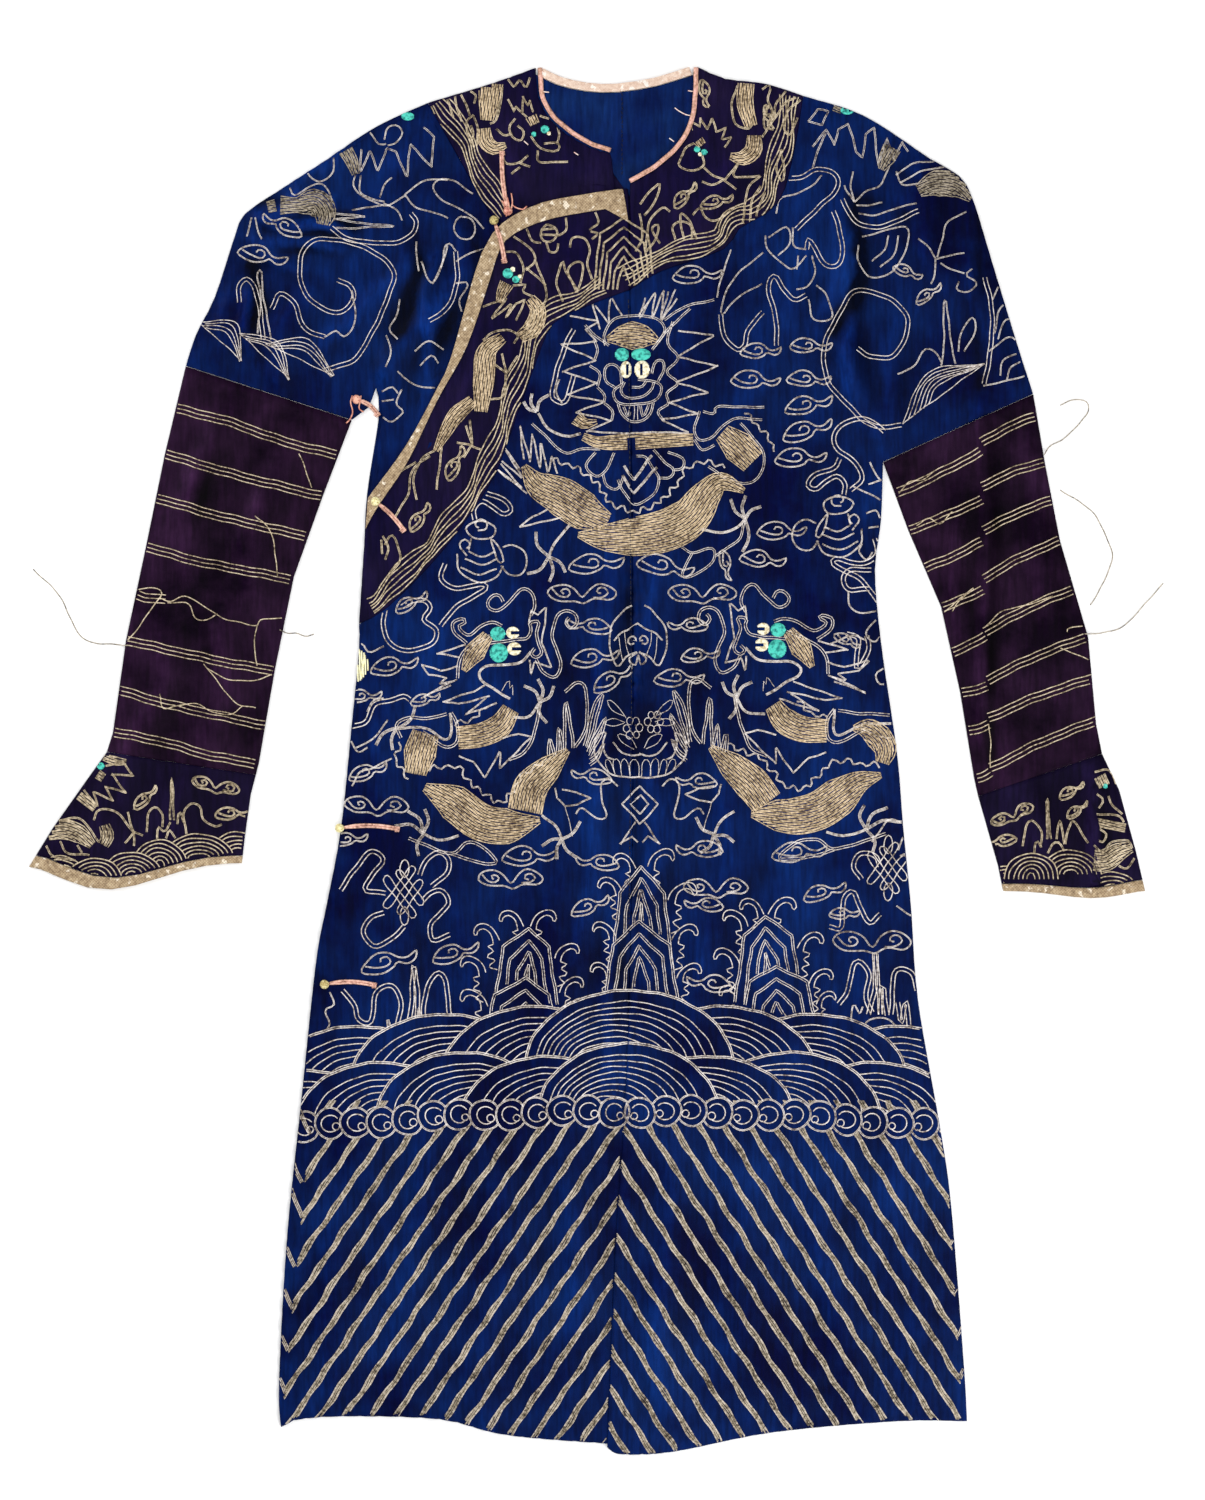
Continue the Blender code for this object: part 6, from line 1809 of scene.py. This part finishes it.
def satin(work, u, v, wide, tall, notch=0.0, side=1, slit=None):
    """Upright satin stitches in an oval, with a notch from one side or an upright slit."""
    for column in np.arange(-wide / 2 + 0.5, wide / 2, FLOSS_PITCH):
        reach = tall / 2 * (1 - (2 * column / wide) ** 2) ** 0.5
        open_half = notch if side * column > -wide * 0.15 else 0.0
        if slit is not None:
            open_half = tall * 0.32 if abs(column - slit) < 1.3 else 0.0
        parts = [(-reach, -open_half), (open_half, reach)] if open_half else [(-reach, reach)]
        for top, foot in parts:
            if foot - top > 1.0:
                places = [(u + column, v + y) for y in np.linspace(top, foot, 4)]
                work.append((np.array(places), FLOSS_THICK))


lids, eyes = [], []
for flip, place in ((-1, right_dragon), (1, left_body_place)):
    for x, y, wide, tall in ((139, -6, 15, 14), (138, 13, 18, 19)):
        satin(lids, *place(x, y), wide, tall)
    for x, y, wide, tall in ((124, -7, 13, 12), (122.5, 9, 14, 13)):
        satin(eyes, *place(x, y), wide, tall, 1.6, -flip)
for u, v, wide, tall in ((622, 355, 14, 13), (641, 355, 19, 12)):
    satin(lids, u, v, wide, tall)
for u, v, wide, tall, slit in ((626, 370, 11, 17, 1.5), (642, 370, 15, 18, -1.0)):
    satin(eyes, u, v, wide, tall, slit=slit)
stitch("eyelids", lids, FRONT, teal_floss, "eye_silk", 0.5)
stitch("eyes", eyes, FRONT, cream_floss, "eye_silk", 0.5)
small_lids, small_eyes = [], []
for u, v, size in ((534, 135, 5), (545, 130, 8), (508, 274, 10), (516, 280, 7), (697, 150, 6),
                   (704, 153, 6)):
    satin(small_lids, u, v, size, size)
for u, v, size in ((549, 134, 4), (513, 270, 5), (520, 277, 4), (700, 155, 4)):
    satin(small_eyes, u, v, size, size)
stitch("yoke_eyelids", small_lids, YOKE, teal_floss, "eye_silk", 0.5)
stitch("yoke_eyes", small_eyes, YOKE, cream_floss, "eye_silk", 0.5)
shoulder_lids = []
for u, v, wide, tall in ((408, 117, 13, 8), (847, 111, 13, 8)):
    satin(shoulder_lids, u, v, wide, tall)
stitch("shoulder_eyelids", shoulder_lids, FRONT, teal_floss, "eye_silk", 0.5)
cuff_lids = []
for u, v, size in ((101, 766, 7), (1105, 786, 5)):
    satin(cuff_lids, u, v, size, size)
stitch("cuff_eyelids", cuff_lids, CUFFS, teal_floss, "eye_silk", 0.5)

# Neck cords
# Each front neck edge is rolled over a cord in pink silk that has worn to tan in places, and
# overcast with a finer thread. A few stray ends stand out of it.
pink_cord = gold_material("pink_cord_silk", colour(228, 176, 164), colour(198, 152, 128),
                          colour(152, 112, 92))
stray_silk = gold_material("stray_silk_ends", colour(250, 236, 226), colour(238, 214, 204),
                           colour(206, 150, 150))
laid, _ = upper_faces(FRONT | YOKE | SLEEVES | NECK
                      | {"closure_braid", "back_right_panel", "back_left_panel"})


def resting(u, v, reach=2.0):
    """The highest cloth or braid just round a place, or the floor, in metres."""
    highest = 0.0
    for du in (-reach, 0, reach):
        for dv in (-reach, 0, reach):
            spot = laid.ray_cast(Vector((across(u + du), down(v + dv), 1)), DOWNWARDS)[0]
            highest = max(highest, spot.z if spot else 0.0)
    return highest


def on_top(line, clear, reach=2.0, floor_clear=1.2):
    """A line of places laid over the cloth, its middle a little clear of it."""
    heights = np.array([resting(u, v, reach) for u, v in line])
    padded = np.pad(heights, 1, mode="edge")
    eased = np.maximum(heights, (padded[:-2] + padded[1:-1] + padded[2:]) / 3)
    return [(across(u), down(v), max(z + clear * MM, floor_clear * MM))
            for (u, v), z in zip(line, eased)]


NECK_EDGES = [  # side, its CAD node, its places from the shoulder down, where its outside is
    ("right", "neck_cord_right", [(542, 68), (544, 94), (554, 114), (569, 128), (592, 142),
        (611, 149)], 1),
    ("left", "neck_cord_left", [(694, 68), (692, 110), (684, 133), (672, 150), (651, 167),
        (629, 180)], -1),
]
STRAY_ENDS = [
    [(541, 92), (545, 93), (549, 93)], [(675, 108), (680, 112), (686, 115), (691, 116)],
    [(688, 91), (693, 92)], [(669, 139), (674, 142)], [(524, 142), (528, 146)],
    [(574, 153), (578, 156)],
]
for side, node_name, places, outward in NECK_EDGES:
    middle = beside(drawn(places, step=2.5, tremble=0.6), 1.6 * outward)
    runs = [(on_top(middle, 0.2, 3.0, 2.3), 1.0), (on_top(beside(middle, 1.9 * outward), 0.1, 2.0,
                                                          1.6), 0.42)]
    cord = wind("neck_piping_" + side, runs, pink_cord, "pink_cord", 2.0 * MM, 2)
    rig.replaces(cord, node_name)
wind("stray_neck_ends", [(on_top(drawn(row, step=1.5), 0.9), 1.0) for row in STRAY_ENDS],
     stray_silk, "pink_cord", 0.6 * MM, 1)

# Fastenings
# Each loop is a folded strip of silk doubled into two cords, its end sewn down under a few
# golden stitches, and each button is a ball knotted from the same kind of cord.
loop_silk = gold_material("loop_strip_silk", colour(236, 190, 172), colour(206, 158, 138),
                          colour(140, 98, 84))
knot_cream = gold_material("cream_knot_cord", colour(246, 240, 190), colour(226, 214, 156),
                           colour(176, 156, 96))
knot_gold = gold_material("gold_knot_cord", colour(214, 200, 138), colour(178, 162, 104),
                          colour(116, 104, 66))
knot_rose = gold_material("rose_knot_cord", colour(238, 182, 158), colour(212, 142, 122),
                          colour(150, 92, 78))
FASTENINGS = [  # name, button across and down, loop end across and down, bow, knot
    ("neck", 508, 212, 502, 152, 2.0, knot_rose), ("chest", 494, 221, 505, 264, 1.5, knot_gold),
    ("underarm", 357, 400, 379, 416, 3.0, knot_rose),
    ("side_upper", 376, 502, 405, 532, 2.0, knot_cream),
    ("side_middle", 340, 828, 400, 829, 3.0, knot_cream),
    ("side_lower", 325, 984, 377, 985, 3.0, knot_cream),
]
LOOP_PAIR = 2.3            # between the two cords of a loop
CORD_SIZE = 1.15 * MM
BALL_RADIUS = 3.4 * MM
CATCH_STITCHES = (1.0, 2.6, 4.2)                     # back from the loop's sewn end
KNOT_RINGS = [  # tilt, heading
    (0.1, 0.0), (1.0, 0.5), (1.1, 1.6), (1.05, 2.7), (1.55, 3.4), (1.5, 5.0),
]
for name, u0, v0, u1, v1, bow, knot_cord in FASTENINGS:
    run_u, run_v = u1 - u0, v1 - v0
    length = hypot(run_u, run_v)
    shares = np.linspace(0.07, 1.0, int(length / 2.5) + 2)
    arc = bow * np.sin(pi * shares)
    line = np.column_stack([u0 + run_u * shares + run_v / length * arc,
                            v0 + run_v * shares - run_u / length * arc])
    pinch = np.clip(shares * 5 - 0.2, 0.25, 1)[:, None]
    runs = [(on_top(beside(line, side * LOOP_PAIR / 2 * pinch), 0.8), 1.0) for side in (-1, 1)]
    for back in CATCH_STITCHES:
        place = line[-1] - np.array([run_u, run_v]) / length * back
        reach = np.array([-run_v, run_u]) / length * 2.9
        runs.append((on_top(np.linspace(place - reach, place + reach, 5), 1.9), 0.5))
    loop = wind("strip_loop_" + name, runs, loop_silk, "loop_strip", CORD_SIZE, 2)
    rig.replaces(loop, "loop_" + name)
    middle = Vector((across(u0), down(v0), resting(u0, v0, 3.0) + BALL_RADIUS + 0.6 * MM))
    rings = []
    for tilt, heading in KNOT_RINGS:
        along = Vector((cos(heading), sin(heading), 0))
        up = Vector((-sin(heading) * cos(tilt), cos(heading) * cos(tilt), sin(tilt)))
        ring = [middle + (along * cos(t) + up * sin(t)) * BALL_RADIUS * (1 + 0.05 * cos(3 * t))
                for t in np.linspace(0, 2 * pi, 21)]
        rings.append((ring, 1.0))
    button = wind("knot_button_" + name, rings, knot_cord, "button_knot", CORD_SIZE, 1,
                  (middle, BALL_RADIUS))
    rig.replaces(button, "button_" + name)

# The neck loop has frayed at its button into loose silk ends, some red and some gold.
FRAYED = [
    [(511, 194), (513, 203), (511, 211), (506, 217)],
    [(512, 205), (517, 208), (523, 210), (527, 207)], [(505, 196), (504, 204), (506, 212)],
    [(508, 198), (509, 206), (505, 213)], [(502, 201), (506, 206)],
    [(353, 396), (351, 403), (353, 412), (350, 419), (346, 423)],
    [(361, 396), (359, 408), (364, 412)],
]
wind("frayed_ends", [(on_top(drawn(row, step=1.8), 1.0), 1.0) for row in FRAYED], knot_rose,
     "pink_cord", 0.7 * MM, 1)

# The blue lining of one cuff shows as a rolled edge below its braid.
LINING_SLIVER = [(138, 881), (150, 879), (164, 875), (177, 869)]
wind("cuff_lining_edge", [(on_top(drawn(LINING_SLIVER, step=3.0), -0.4, 0.5, 0.9), 1.0)],
     lining_silk, "lining_silk", 0.9 * MM, 1)

# Pearl at the side
# A big cream pearl is worked half on the front and half on the back, so the side edge cuts it.
PEARL_ACROSS, PEARL_DOWN, PEARL_RADIUS = 350, 665, 18.5
PEARL_ROWS, PEARL_PITCH = 20, 1.9
pearl_work = []
for row in range(PEARL_ROWS):
    u = PEARL_ACROSS - PEARL_RADIUS + row * PEARL_PITCH
    half = max(PEARL_RADIUS ** 2 - (u - PEARL_ACROSS) ** 2, 0) ** 0.5
    if half > 2:
        couch(pearl_work, [(u, PEARL_DOWN - half), (u, PEARL_DOWN + half)], 1, thick=1.9)
pearl_floss = floss_material("cream_pearl_floss", colour(252, 248, 208), colour(232, 222, 168))
stitch("side_pearl", pearl_work, FRONT, pearl_floss, "eye_silk")

# Seams
# The panels are joined with small running stitches that pull the centre front into puckers,
# and the lining has its own pressed seam.
seam_silk = gold_material("seam_silk", colour(10, 14, 50), colour(4, 6, 36), colour(0, 0, 22))
BESIDE_SEAM = 1.5
LINING_SEAM = 622
seam_work = []
for v in np.arange(300.0, 930.0, 5.2):
    u = seam_at(v) - BESIDE_SEAM
    seam_work.append((np.array([(u, v), (u, v + 3.6)]), 1.3))
for v in np.arange(84.0, 176.0, 4.6):
    start, end = LINING_SEAM + 0.4 * sin(v), LINING_SEAM + 0.4 * sin(v + 2)
    seam_work.append((np.array([(start, v), (end, v + 3.4)]), 0.8))
stitch("seam_stitches", seam_work, FRONT | YOKE | NECK, seam_silk, "blue_silk")

# Loose threads
# Ends of couched gold thread have come away at the cuffs and trail off on the floor.
LOOSE_THREADS = [
    ("loose_thread_sleeve_right", [(128, 646), (112, 644), (97, 643), (85, 640), (76, 630),
        (69, 614), (60, 597), (47, 582), (33, 569)]),
    ("loose_thread_sleeve_left", [(1044, 455), (1051, 446), (1064, 438), (1077, 426), (1088, 413),
        (1086, 402), (1074, 400), (1060, 405)]),
    ("loose_thread_forearm_left", [(1060, 490), (1080, 502), (1096, 517), (1106, 536), (1112, 557),
        (1104, 582), (1090, 605)]),
    ("loose_thread_wrist_left", [(1084, 634), (1104, 633), (1123, 626), (1140, 610), (1152, 596),
        (1163, 583)]),
    ("loose_thread_underarm", [(280, 630), (288, 634), (297, 633), (306, 636), (314, 634)]),
]
for name, places in LOOSE_THREADS:
    line = drawn(places, step=3.0)
    path = on_top(line, 0.6, 1.0, 0.6)
    thread = wind(name, [(path, 1.0)], hem_gold, "gold_thread", 0.5 * MM, 1)
    run = sum((Vector(b) - Vector(a)).length for a, b in zip(path, path[1:]))
    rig.cord(thread, exit=path[0], length=run, diameter=1.0 * MM, far_end="bare", stiffness="limp",
            lay="loose", path=path)

visual_low, visual_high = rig.bounds()
with open("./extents.json", "w") as sizes:
    json.dump([list(corner) for corner in (cad_low, cad_high, visual_low, visual_high)], sizes)
